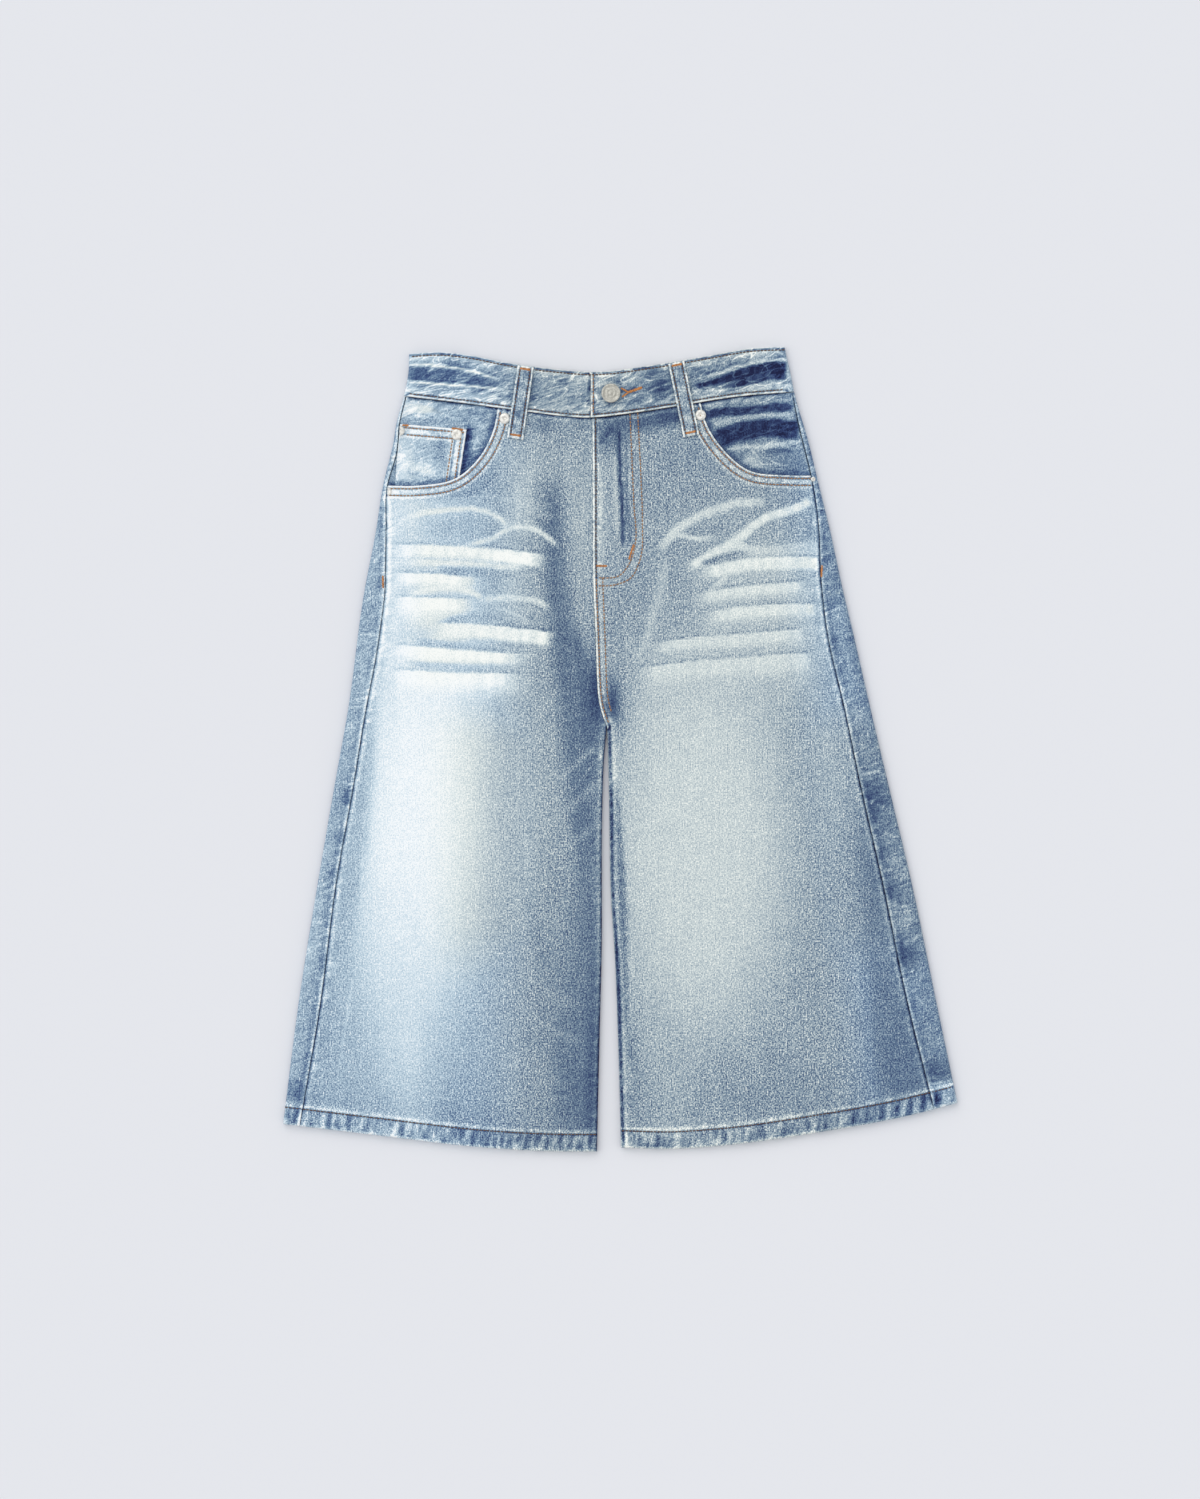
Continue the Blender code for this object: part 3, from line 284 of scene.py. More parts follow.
# Marks of the wash, dry brushed and sprayed by hand, by area of the cloth, and among them a few painted
# shadows and shade, each marked where it stands; tones run from 0 to 1
PATCHES = {
    # area: centre x, centre y, half width, half height, tone, share, and tilt, sharpness if not 0, 2
    "front_right": [
        (-90, 251, 81, 45, 0.68, 0.7), (-184, -46, 74, 270, 0.965, 0.97, 2, 3),
        (-187, 124, 23.5, 9, 0.98, 0.7), (-182, 103.5, 20, 7, 0.8, 0.6),
        (-110, -349.5, 56, 11, 0.22, 0.9, 3, 2), (-117, -280, 72, 54, 0.68, 0.5),
        (-126, -332.5, 108, 30.5, 0.59, 0.65), (-38, -293.5, 21.5, 103.5, 0.39, 0.9, 0, 3),
        (-25, -262, 7, 117, 0.28, 0.9, 0, 4), (-180, -341.5, 21.5, 9, 0.88, 0.7),
        (-29, -136, 15.5, 135, 0.45, 0.75, 0, 3), (-180, 218.5, 47, 11.5, 0.84, 0.8),
        (-126, 240, 23.5, 14.5, 0.62, 0.8), (-153, 231, 45, 7, 0.62, 0.6), (-36, 206, 12.5, 43, 0.71, 0.8),
        (-206, 134, 9, 108, 0.9, 0.85, 0, 4), (-195, 210.5, 18, 54, 0.89, 0.75),
        # (-21, 49.5) on the line below: painted shadow at the crotch
        (-97, 161, 11, 56, 0.84, 0.5), (-21, 49.5, 13.5, 38, 0.24, 1), (-86, -91, 20, 135, 0.76, 0.5),
        (-239, -82, 11.5, 153, 0.7, 0.75, 6.5, 4), (-250, -298, 23.5, 50.5, 0.7, 0.8, 6, 2),
        (-191, -253, 21.5, 99, 0.88, 0.6), (-58, -230.5, 32.5, 117, 0.49, 0.52, 0, 3),
        (-54, 282.5, 27, 14.5, 0.58, 0.7), (-68, 291.5, 12.5, 7, 0.44, 0.7), (-34, 296, 9, 8, 0.44, 0.7),
        (-86, 224, 14.5, 45, 0.78, 0.6)
    ],
    "front_left": [
        (72, -82, 84.5, 189, 0.825, 0.97, 0, 4), (139, 114, 65, 79, 0.76, 0.85, 0, 4),
        (155, -316, 108, 39.5, 0.56, 0.8), (225, -330.5, 45, 10, 0.26, 0.9, -10, 2),
        (52, 128.5, 16, 29, 0.63, 0.9), (4, 123, 16, 34, 0.6, 0.8), (254, -280, 27, 85.5, 0.39, 0.9, -8, 3),
        (234, -172, 18, 135, 0.49, 0.8, -10, 3), (228, -116.5, 8, 45, 0.44, 0.6, -10, 2),
        (9, -293.5, 8, 54, 0.52, 0.7), (48, -302.5, 21.5, 39.5, 0.71, 0.5), (43, -346.5, 27, 8, 0.82, 0.6),
        # (-7, 39.5) on the line below: painted shadow at the crotch
        (189, -19, 18, 72, 0.76, 0.5, -8, 2), (-7, 39.5, 8, 23.5, 0.26, 0.95),
        (-12, 224, 11, 54, 0.69, 0.7), (10, 242, 7, 54, 0.54, 0.6, 0, 3),
        (47, 299.5, 29, 8, 0.16, 0.85, -8, 2), (16, 293, 18, 9, 0.32, 0.85, -4, 2),
        (-11, 287, 13.5, 18, 0.3, 0.8), (66, 264.5, 47, 25, 0.565, 0.8), (126, 224, 54, 9, 0.6, 0.6, -4, 2),
        (29, 44, 11, 36, 0.78, 0.4)
    ],
    "facing_right": [
        (-186, 305, 29, 11.5, 0.97, 0.95), (-149, 292.5, 18, 7, 0.66, 0.6),
        (-180, 295, 23.5, 3.5, 0.5, 0.6), (-117, 288.5, 9, 20, 0.62, 0.7),
        (-137, 261.5, 5.5, 20, 0.36, 0.9), (-126, 279.5, 8, 11, 0.74, 0.7)
    ],
    "coin_pocket": [
        (-171, 251, 23.5, 11, 0.88, 0.8), (-176, 269, 18, 16, 0.74, 0.6), (-161, 267, 6.5, 20, 0.52, 0.7),
        (-197, 256.5, 12.5, 20, 0.95, 0.85)
    ],
    "facing_left": [
        (126, 287, 45, 27, 0.5, 0.5, -4, 4), (93, 267, 14.5, 8, 0.36, 0.8, 12, 2),
        (153, 257, 16, 11, 0.46, 0.7), (119, 257, 11, 6.5, 0.82, 0.8), (167, 287, 5.5, 36, 0.66, 0.8, -6, 2)
    ],
    "waistband": [
        (-176, 349, 23.5, 6.5, 0.84, 0.8, 6, 2), (-151, 347, 8, 5.5, 0.5, 0.8),
        (-117, 335.5, 18, 7, 0.6, 0.7, 8, 2), (-153, 317.5, 45, 7, 0.69, 0.8, 4, 2),
        (-97, 315.5, 9, 11, 0.5, 0.6), (-54, 332, 21.5, 6.5, 0.6, 0.6, 4, 2),
        (-61, 319.5, 23.5, 9, 0.6, 0.7, 4, 2), (-18, 310.5, 8, 9, 0.54, 0.7),
        # (-4, 317.5) on the line below: painted shadow round the button
        (29, 337.5, 16, 7, 0.38, 0.9, -8, 2), (-4, 317.5, 16, 12.5, 0.44, 0.8),
        (-82, 317.5, 9, 15.5, 0.4, 0.8), (41, 314, 23.5, 11, 0.46, 0.7, -8, 2),
        (70, 321, 11, 7, 0.52, 0.6, -8, 2), (39, 325.5, 16, 7, 0.3, 0.9, -8, 2),
        (12, 306.5, 12.5, 5.5, 0.5, 0.7, -8, 2), (79, 337.5, 16, 9, 0.38, 0.8, -8, 2),
        (-193, 321, 9, 11, 0.86, 0.8), (155, 339, 5.5, 12.5, 0.84, 0.8),
        (108, 351.5, 36, 4.5, 0.66, 0.7, -6, 2), (140, 352.5, 18, 5.5, 0.6, 0.7, -4, 2),
        (110, 322, 43, 6.5, 0.58, 0.8, -6, 2), (148, 324.5, 12.5, 3.5, 0.62, 0.7)
    ],
    "under": [
        (-104, -91, 75.5, 216, 0.7, 0.75, 0, 2.5), (110, -91, 75.5, 216, 0.7, 0.75, 0, 2.5),
        (-90, 206, 59.5, 54, 0.7, 0.6), (77, 206, 59.5, 54, 0.7, 0.6),
        (-261, -136, 27, 180, 0.5, 0.6, 6, 3), (256, -136, 27, 180, 0.5, 0.6, -6, 3),
        (-18, -10, 12.5, 81, 0.48, 0.6), (7, -10, 12.5, 81, 0.48, 0.6)
    ],
    "strip_right": [
        (-222, 188, 7, 36, 0.72, 0.8), (-223, 126.5, 8, 27, 0.66, 0.8), (-229, 53, 7, 39.5, 0.74, 0.8),
        (-245, -43.5, 6.5, 7, 0.4, 0.9), (-250, -80.5, 5.5, 7, 0.44, 0.8),
        (-258, -122.5, 8, 23.5, 0.6, 0.8), (-259, -161.5, 8, 16, 0.56, 0.8),
        (-263, -196.5, 6.5, 10, 0.34, 0.9), (-280, -176.5, 7, 54, 0.78, 0.7, 8, 2),
        (-265, -46, 5.5, 54, 0.76, 0.6, 8, 2), (-276, -244, 8, 32.5, 0.6, 0.8),
        (-285, -310, 20, 11.5, 0.42, 0.9), (-277, -291, 9, 21.5, 0.52, 0.8)
    ],
    "strip_left": [
        (182, 251, 7, 36, 0.68, 0.8, -6, 2), (189, 206, 7, 30.5, 0.58, 0.8, -6, 2),
        (185, 161, 7, 23.5, 0.56, 0.9), (196, 116, 7, 16, 0.64, 0.8, -8, 2),
        (207, 44, 8, 54, 0.64, 0.9, -8, 2), (227, -46, 14.5, 20, 0.34, 0.95), (236, -75, 7, 7, 0.6, 0.7),
        (234, -91, 9, 16, 0.43, 0.9), (243, -130, 10, 12.5, 0.4, 0.9), (252, -152.5, 10, 8, 0.62, 0.8),
        (254, -184, 11.5, 11.5, 0.31, 0.9), (263, -226, 11, 20, 0.56, 0.8, -8, 2),
        (274, -262, 11, 14.5, 0.5, 0.8, -8, 2), (283, -291, 14.5, 9, 0.34, 0.9),
        (291, -304.5, 12.5, 4.5, 0.72, 0.9)
    ]
}
STROKES = {
    # area: soft above, full below, soft below, fade in, fade out, tone, share, (x, y) points, or for a
    # stroke that is alike on both sides and at both ends: half width, fade, tone, share, points
    "front_right": [
        # a dark band from the hip down to the crotch, in this stroke and the next: painted shade of a soft
        # fold valley
        (18, 0, 21.6, 54, 54, 0.41, 0.9, [
            (-62, 264.5), (-61, 224), (-59, 174.5), (-54, 125), (-50, 80), (-44, 35), (-40, -10),
            (-33, -64), (-29, -118)
        ]),
        (10.8, 0, 10.8, 18, 27, 0.36, 0.7, [(-42, 116), (-34, 62), (-28, 8), (-25, -46)]),
        (4.5, 12.5, 0.82, 0.6, [(-95, 243.5), (-92, 224), (-94, 197)]),
        (7.2, 18, 0.6, 0.6, [(-76, 242), (-70, 219.5), (-61, 198.5)]),
        (11.7, 22.5, 0.72, 0.9, [(-176, 196), (-149, 198.5), (-117, 198)]),
        (7.2, 12.5, 0.66, 0.9, [(-104, 186), (-88, 187), (-65, 180)]),
        (2.7, 0.5, 3.1, 18, 21.5, 0.8, 0.5, [(-162, 222), (-126, 227.5), (-90, 222), (-58, 206)]),
        (3.1, 1.4, 3.1, 11, 7, 0.92, 1, [
            (-205, 201.5), (-185, 211), (-169, 214), (-150, 216), (-128, 216), (-115, 212), (-105, 205),
            (-100, 197)
        ]),
        (3.1, 1.4, 3.1, 20, 11, 0.9, 1, [
            (-162, 180), (-133, 185), (-114, 190.5), (-102, 198), (-90, 200.5), (-78, 198.5), (-67, 192.5),
            (-54, 180.5)
        ]),
        (1.6, 9, 4.5, 20, 20, 0.97, 1, [
            (-211, 182.5), (-183, 183), (-148, 181.5), (-109, 179), (-86, 176.5), (-61, 172.5)
        ]),
        (2.7, 1.8, 4.5, 20, 23.5, 0.93, 0.9, [
            (-211, 170), (-162, 168.5), (-126, 167), (-99, 164.5), (-77, 166.5)
        ]),
        (1.8, 3.6, 4.5, 9, 12.5, 0.99, 1, [(-119, 176), (-104, 175.5), (-90, 172.5), (-76, 171.5)]),
        (1.4, 12.5, 0.8, 0.7, [(-195, 172.5), (-162, 171), (-119, 170)]),
        (3.1, 3.6, 3.6, 20, 14.5, 0.68, 0.95, [
            (-171, 163.5), (-148, 162), (-117, 160), (-90, 157.5), (-68, 159)
        ]),
        (1.8, 3.5, 0.9, 0.8, [(-171, 170), (-166, 162.5), (-161, 154.5)]),
        (1.4, 5.4, 9, 16, 36, 0.985, 1, [(-209, 157.5), (-161, 156.5), (-139, 154.5), (-115, 153)]),
        (3.1, 2.2, 3.6, 14.5, 12.5, 0.94, 0.95, [
            (-198, 134), (-178, 143), (-158, 146.5), (-141, 144), (-128, 139.5), (-119, 133)
        ]),
        (1.8, 2.7, 2.7, 14.5, 14.5, 0.84, 0.6, [(-180, 139), (-158, 141), (-137, 137.5)]),
        (1.4, 7.2, 9, 16, 36, 0.985, 1, [(-209, 136), (-161, 135), (-121, 134)]),
        (2.2, 2.2, 4.5, 12.5, 12.5, 0.88, 0.95, [
            (-130, 135), (-117, 136), (-104, 137.5), (-86, 136.5), (-67, 130.5), (-61, 123)
        ]),
        (3.6, 0.9, 4.5, 11, 11, 0.72, 0.9, [(-105, 126.5), (-92, 127.5), (-72, 124)]),
        (1.8, 0, 2.7, 9, 12.5, 0.87, 0.9, [(-117, 127.5), (-101, 124), (-88, 118), (-78, 109.5)]),
        (3.1, 2.2, 2.7, 16, 16, 0.69, 0.9, [
            (-164, 114), (-140, 119), (-123, 120), (-104, 116.5), (-87, 111.5)
        ]),
        (1.4, 9, 6.3, 20, 12.5, 0.96, 1, [
            (-171, 112.5), (-128, 111.5), (-95, 108), (-71, 105.5), (-56, 101.5)
        ]),
        (2.7, 2.7, 4.5, 16, 23.5, 0.74, 0.9, [(-191, 99.5), (-153, 95), (-108, 90.5), (-68, 89)]),
        (1.4, 6.3, 8.1, 16, 45, 0.985, 1, [(-209, 93.5), (-150, 89), (-92, 85), (-68, 83.5)]),
        (2.7, 2.7, 4.5, 16, 23.5, 0.76, 0.85, [(-196, 78), (-153, 75.5), (-99, 72.5), (-77, 72.5)]),
        (1.4, 5.4, 23.4, 16, 45, 0.985, 1, [(-209, 71), (-161, 68), (-92, 66.5), (-72, 64.5)]),
        (4.5, 0.9, 5.4, 21.5, 11, 0.68, 0.55, [(-72, -39), (-45, -17.5), (-19, 6)]),
        (4.5, 0.9, 5.4, 21.5, 11, 0.7, 0.5, [(-76, -75), (-45, -51.5), (-19, -28)]),
        (4.5, 0.9, 5.4, 21.5, 11, 0.66, 0.5, [(-79, -111), (-47, -87.5), (-20, -66)]),
        (5.4, 1.8, 6.3, 18, 18, 0.66, 0.45, [(-108, -179.5), (-72, -211.5), (-31, -235)]),
        (4.5, 0.9, 5.4, 18, 18, 0.64, 0.4, [(-103, -219), (-67, -247.5), (-29, -267.5)]),
        (1.4, 12.5, 0.74, 0.5, [(-49, -46), (-33, -24.5), (-20, -8.5)]),
        (1.4, 18, 0.93, 0.6, [
            (-226, -43.5), (-231, -73), (-232, -109), (-234, -152.5), (-239, -199), (-248, -253),
            (-257, -305.5)
        ]),
        (1.8, 0, 3.6, 3.5, 3.5, 0.94, 0.8, [(-208, 231), (-207, 197), (-208, 143)]),
        (2.7, 7, 0.52, 0.7, [(-108, 251), (-126, 233), (-149, 225)])
    ],
    "front_left": [
        (7.2, 18, 0.78, 0.8, [(43, 177), (34, 134), (23, 98), (12, 72.5)]),
        (6.3, 1.8, 9, 36, 54, 0.38, 0.85, [(-6, -19), (-1, -91), (2, -136), (3, -199), (4, -280)]),
        (7.2, 18, 0.6, 0.4, [(196, 84.5), (203, 44), (209, -1), (214, -32.5)]),
        (9, 0, 10.8, 21.5, 21.5, 0.66, 0.9, [(63, 199.5), (92, 209.5), (130, 214)]),
        (10.8, 0, 9, 18, 18, 0.66, 0.9, [(115, 188), (135, 195), (169, 199.5)]),
        (6.3, 9, 0.62, 0.9, [(50, 180.5), (65, 183.5), (86, 185)]),
        (3.6, 3.6, 4.5, 12.5, 27, 0.85, 1, [
            (32, 177), (48, 197), (65, 208.5), (84, 217), (101, 222), (120, 224), (142, 222)
        ]),
        (1.8, 1.8, 2.7, 7, 16, 0.86, 0.95, [(48, 194), (70, 190.5), (92, 191)]),
        (2.7, 4.5, 4, 12.5, 7, 0.91, 1, [
            (57, 162.5), (72, 171.5), (84, 179), (98, 186), (111, 196), (123, 206), (138, 213),
            (157, 218.5), (173, 227.5)
        ]),
        (2.7, 3.6, 4.5, 7, 18, 0.87, 0.95, [(101, 185), (115, 182.5), (131, 177), (148, 174.5)]),
        (3.6, 3.6, 5.4, 12.5, 12.5, 0.86, 0.8, [(90, 177), (103, 183.5), (115, 187)]),
        (1.8, 9, 3.6, 18, 3.5, 0.8, 0.95, [(106, 181.5), (120, 181.5), (144, 182.5), (180, 185)]),
        (2, 1.4, 1.8, 9, 12.5, 0.52, 0.95, [(69, 166), (92, 173.5), (117, 179)]),
        (1.6, 8.1, 5.4, 23.5, 5.5, 0.92, 1, [
            (63, 161.5), (92, 166.5), (110, 170), (133, 171.5), (180, 172)
        ]),
        (3.1, 0.9, 3.1, 7, 7, 0.86, 0.9, [(77, 139.5), (89, 150), (99, 159)]),
        (1.8, 3.6, 2.7, 18, 12.5, 0.72, 0.9, [(103, 152), (135, 154.5), (173, 157.5)]),
        (1.4, 4.5, 9, 27, 12.5, 0.89, 1, [
            (59, 136.5), (92, 143), (120, 146.5), (147, 148.5), (171, 150.5)
        ]),
        (1.8, 3.6, 3.6, 18, 12.5, 0.73, 0.9, [(79, 128.5), (100, 131.5), (146, 135.5)]),
        (1.4, 6.3, 9, 27, 5.5, 0.89, 1, [(68, 119.5), (99, 126), (133, 129), (179, 130)]),
        (1.8, 3.6, 3.6, 18, 12.5, 0.72, 0.9, [(72, 106), (120, 110.5), (165, 114)]),
        (1.4, 6.3, 8.1, 30.5, 5.5, 0.86, 1, [(18, 92.5), (65, 99.5), (106, 102.5), (166, 107.5)]),
        (1.8, 3.6, 3.6, 18, 11, 0.74, 0.9, [(40, 82.5), (78, 86), (135, 91.5)]),
        (1.4, 6.3, 21.6, 27, 7, 0.85, 1, [(9, 71), (65, 78), (106, 81.5), (174, 86)]),
        # the fly's crease in the next three strokes: painted shade along its trough and just right of it,
        # and a painted highlight on the cloth to its left
        (2.2, 0.3, 2.5, 7, 9, 0.14, 0.95, [(-1, 290.5), (0, 251), (2, 215), (3, 180.5)]),
        (4, 0, 0.5, 9, 9, 0.4, 0.85, [(4, 287), (5, 251), (6, 206), (9, 179)]),
        (1.8, 0, 2.7, 11, 11, 0.86, 0.8, [(-5, 269), (-4, 242), (-3, 188)]),
        (1.4, 0, 1.8, 4.5, 4.5, 0.62, 0.8, [(-21, 281.5), (-15, 288.5), (-6, 297.5)]),
        (1.4, 0, 1.8, 4.5, 4.5, 0.6, 0.8, [(-21, 267), (-14, 274.5), (-5, 286)]),
        (1.8, 4.5, 0.2, 0.8, [(-20, 273.5), (-13, 281.5), (-6, 291.5)]),
        (1.8, 11, 0.52, 0.6, [(-13, 287), (-12, 251), (-9, 224), (-6, 188)]),
        (1.8, 11, 0.84, 0.7, [(-18, 251), (-17, 206), (-15, 170)]),
        (1.4, 0, 1.4, 9, 11, 0.82, 0.7, [(7, 281.5), (8, 251), (10, 206)]),
        (1.4, 0, 1.4, 18, 27, 0.8, 0.6, [(9, -37), (10, -136), (10, -226), (9, -325)]),
        (1.8, 0, 1.8, 3.5, 7, 0.86, 0.8, [(179, 224), (176, 213), (173, 197)])
    ],
    "facing_right": [
        (1.8, 5.5, 0.88, 0.7, [(-137, 305), (-126, 292.5), (-119, 281.5)]),
        (1.8, 5.5, 0.5, 0.5, [(-157, 303), (-142, 292.5), (-130, 287)]),
        (1.4, 5.5, 0.5, 0.6, [(-195, 299.5), (-180, 301.5), (-164, 297.5)]),
        (1.4, 5.5, 0.88, 0.7, [(-171, 306.5), (-155, 299.5), (-142, 295)]),
        (1.4, 5.5, 0.46, 0.6, [(-142, 306.5), (-132, 301.5), (-117, 299.5)])
    ],
    "coin_pocket": [
        (1.4, 5.5, 0.56, 0.6, [(-194, 250), (-176, 244.5), (-158, 243.5)]),
        (1.4, 5.5, 0.6, 0.5, [(-187, 274.5), (-177, 270.5), (-166, 272.5)]),
        (1.4, 5.5, 0.6, 0.5, [(-189, 261.5), (-177, 258), (-162, 261.5)])
    ],
    "facing_left": [
        (1.8, 5.4, 2.7, 5.5, 9, 0.18, 1, [(69, 301.5), (92, 306), (112, 306.5), (133, 309.5), (158, 311)]),
        (1.8, 1.4, 2.7, 12.5, 9, 0.74, 0.95, [
            (79, 289.5), (94, 296), (112, 299.5), (133, 301.5), (159, 301.5)
        ]),
        (2.7, 12.6, 4.5, 7, 7, 0.14, 1, [(74, 278), (94, 288.5), (112, 293), (133, 295.5), (164, 292.5)]),
        (1.8, 1.8, 2.7, 12.5, 12.5, 0.8, 0.95, [
            (86, 267), (103, 271.5), (121, 272.5), (142, 275), (165, 279)
        ]),
        (1.4, 5.5, 0.82, 0.9, [(115, 271.5), (123, 264.5), (128, 254.5)]),
        (1.8, 7, 0.3, 0.9, [(129, 265.5), (142, 269), (160, 267)]),
        (1.4, 4.5, 0.8, 0.9, [(133, 262.5), (140, 257), (153, 254.5)]),
        (1.4, 4.5, 0.44, 0.8, [(99, 261.5), (110, 267), (117, 268)]),
        (1.4, 4.5, 0.55, 0.6, [(86, 301.5), (103, 298.5), (126, 306.5)]),
        (1.4, 4.5, 0.4, 0.6, [(126, 285), (142, 287), (158, 283.5)])
    ],
    "waistband": [
        (1.8, 9.9, 2.7, 2.5, 36, 0.43, 1, [(-198, 343.5), (-162, 341.5), (-135, 336.5), (-97, 326.5)]),
        (1.3, 0.7, 1.4, 2, 11, 0.95, 1, [(-195, 346.5), (-162, 345), (-135, 340.5), (-106, 332)]),
        (1.3, 0.7, 1.4, 2, 18, 0.97, 1, [(-195, 331), (-162, 328.5), (-135, 326.5), (-101, 324)]),
        (1.8, 2.7, 2.7, 14.5, 3.5, 0.18, 1, [
            (61, 326.5), (74, 328.5), (90, 333), (112, 339), (135, 342.5), (149, 344.5)
        ]),
        (1.8, 13.5, 2.7, 23.5, 4.5, 0.14, 1, [(83, 331), (112, 342.5), (135, 347), (151, 347.5)]),
        (1.4, 1.3, 1.6, 12.5, 3.5, 0.8, 0.95, [
            (72, 333.5), (90, 339), (112, 346.5), (135, 350.5), (156, 351)
        ]),
        (1.3, 0.7, 1.3, 12.5, 3.5, 0.76, 0.9, [(70, 321), (92, 323), (117, 326.5), (158, 327.5)]),
        (1.1, 4.5, 0.86, 0.8, [(-76, 317.5), (-61, 321), (-41, 328.5), (-29, 330)]),
        (1.1, 4.5, 0.84, 0.7, [(-77, 324.5), (-54, 333.5), (-31, 339)]),
        (1.4, 4.5, 0.48, 0.7, [(-76, 335.5), (-58, 332), (-36, 335.5)]),
        (1.1, 4.5, 0.82, 0.8, [(2, 314), (20, 319.5), (43, 328.5), (56, 331)]),
        (1.1, 4.5, 0.76, 0.7, [(18, 309.5), (31, 315), (48, 324)]),
        (1.4, 4.5, 0.34, 0.8, [(11, 312), (27, 318.5), (47, 323)]),
        (1.1, 4.5, 0.78, 0.7, [(18, 333.5), (29, 331), (43, 335.5)]),
        (1.3, 4.5, 0.32, 0.8, [(-7, 333.5), (5, 339), (16, 338)]),
        (1.3, 4.5, 0.36, 0.7, [(96, 344.5), (104, 348), (113, 349)]),
        (2, 2.5, 0.2, 0.9, [(-1, 321), (7, 323), (16, 325.5)]),
        (1.4, 2, 0.22, 0.7, [(-10, 311), (-10, 306)]),
        # painted shadow that the lapping end of the waistband casts on the band beneath
        (1.8, 0, 0.3, 2.5, 2.5, 0.28, 0.8, [(-29, 297.5), (-29, 318.5), (-27, 333.5)])
    ],
    "under": [
        (2.7, 1.8, 7.2, 21.5, 21.5, 0.8, 0.55, [(-171, -226), (-126, -233.5), (-63, -222.5)]),
        (2.7, 1.8, 7.2, 21.5, 21.5, 0.82, 0.55, [(-180, -256.5), (-117, -265.5), (-54, -253)]),
        (2.7, 1.8, 7.2, 21.5, 21.5, 0.8, 0.55, [(54, -222.5), (117, -233.5), (171, -224.5)]),
        (2.7, 1.8, 7.2, 21.5, 21.5, 0.82, 0.55, [(47, -253), (112, -265.5), (180, -255)])
    ],
    "strip_right": [
        (1.1, 2.5, 0.88, 0.9, [(-254, -54), (-247, -51.5), (-240, -55)]),
        (1.1, 2.5, 0.88, 0.9, [(-256, -71.5), (-249, -67.5), (-243, -69.5)]),
        (1.1, 2.5, 0.86, 0.9, [(-252, -33.5), (-246, -31), (-239, -34.5)]),
        (1.1, 2.5, 0.88, 0.9, [(-272, -176.5), (-266, -174), (-259, -178.5)]),
        (1.1, 2.5, 0.86, 0.9, [(-276, -203.5), (-268, -207), (-261, -204.5)]),
        (1.1, 2.5, 0.82, 0.9, [(-292, -293.5), (-285, -297), (-280, -292.5)]),
        (1.1, 2.5, 0.84, 0.8, [(-265, -140.5), (-258, -143.5), (-253, -139)])
    ],
    "strip_left": [
        (1.1, 2.5, 0.84, 0.9, [(219, -46), (229, -49), (241, -55)]),
        (1.1, 2.5, 0.8, 0.9, [(214, -24.5), (225, -21), (236, -20)]),
        (1.1, 2.5, 0.8, 0.9, [(238, -143.5), (249, -140.5), (261, -147)]),
        (1.1, 2.5, 0.78, 0.9, [(246, -170.5), (255, -174), (266, -170.5)]),
        (1.1, 2.5, 0.76, 0.9, [(248, -201), (259, -199), (270, -204.5)]),
        (1.1, 2.5, 0.76, 0.9, [(227, -78.5), (236, -75), (245, -78.5)]),
        (1.1, 2.5, 0.76, 0.9, [(234, -111), (243, -107.5), (254, -114.5)]),
        (1.1, 2.5, 0.74, 0.9, [(187, 135.5), (192, 139.5), (200, 135.5)])
    ]
}

# What a seam does to the cloth beside it. The line runs with the panel's inside on its left, and a mark
# lies at an offset towards the inside. It raises the cloth, and puckers it at a pitch with a slant
HEM_RELIEF = [
    # line, offset, half width, height, pucker, pitch, slant; the hem puffs up and ropes on every panel
    ("hem", 6.5, 9, 0.45, 0, 9, 0), ("hem", 6.5, 6, 0.40, 1, 8.5, 0.35)
]
SEAM_RELIEF = {
    # area: line, offset, half width, height, pucker, pitch, slant
    "front": [
        *HEM_RELIEF, ("hem", 15.3, 1.2, -0.25, 0.3, 5, 0), ("outseam", 3.5, 2, 0.15, 0.8, 8, 0.4),
        ("mouth", 1.2, 1.6, 0.30, 0.4, 8, 0), ("mouth", 5.6, 2.2, 0.25, 0.8, 7, 0.5),
        ("waist", 1.5, 2, -0.20, 0.5, 8, 0), ("waist", 6, 3, 0.20, 0.9, 9, 0.8)
    ],
    "front_left": [
        ("inseam", 2.5, 2.4, 0.30, 0.5, 8, 0.5), ("fly", 1.2, 1.8, 0.35, 0.3, 9, 0),
        ("fly_inner", 3.5, 1.8, 0.25, 0.8, 7, 0.4), ("fly_outer", -2.2, 1.8, 0.15, 0.7, 8, 0)
    ],
    "strip": [
        *HEM_RELIEF, ("outseam", -1.5, 1.6, 0.35, 0.6, 8, 0), ("outseam", -5, 2.2, 0.20, 0.9, 9, 0.5)
    ],
    "facing": [("waist", 5, 2.4, 0.15, 0.8, 8, 0.4)],
    "coin_pocket": [
        ("coin_top", 1, 1.6, 0.30, 0.4, 8, 0), ("coin_top", 5.8, 2, 0.20, 0.8, 7, 0.4),
        ("coin_side", 1.2, 1.6, 0.30, 0.4, 8, 0), ("coin_side", 7.6, 2, 0.20, 0.8, 7, 0.4)
    ],
    "waistband": [
        ("band_top", 5.6, 2.2, 0.25, 0.9, 9, 0.4), ("band_foot", 0.8, 1.4, 0.20, 0.4, 8, 0),
        ("band_foot", 6, 2.2, 0.25, 0.9, 8, 0.5), ("band_end", 0.8, 1.4, 0.20, 0.4, 8, 0)
    ],
    "under": [
        ("hem", 15.3, 1.2, -0.25, 0.3, 5, 0), ("seat", 0.6, 1.2, -0.30, 0.3, 9, 0),
        ("yoke", 0.6, 1.2, -0.30, 0.3, 9, 0)
    ]
}
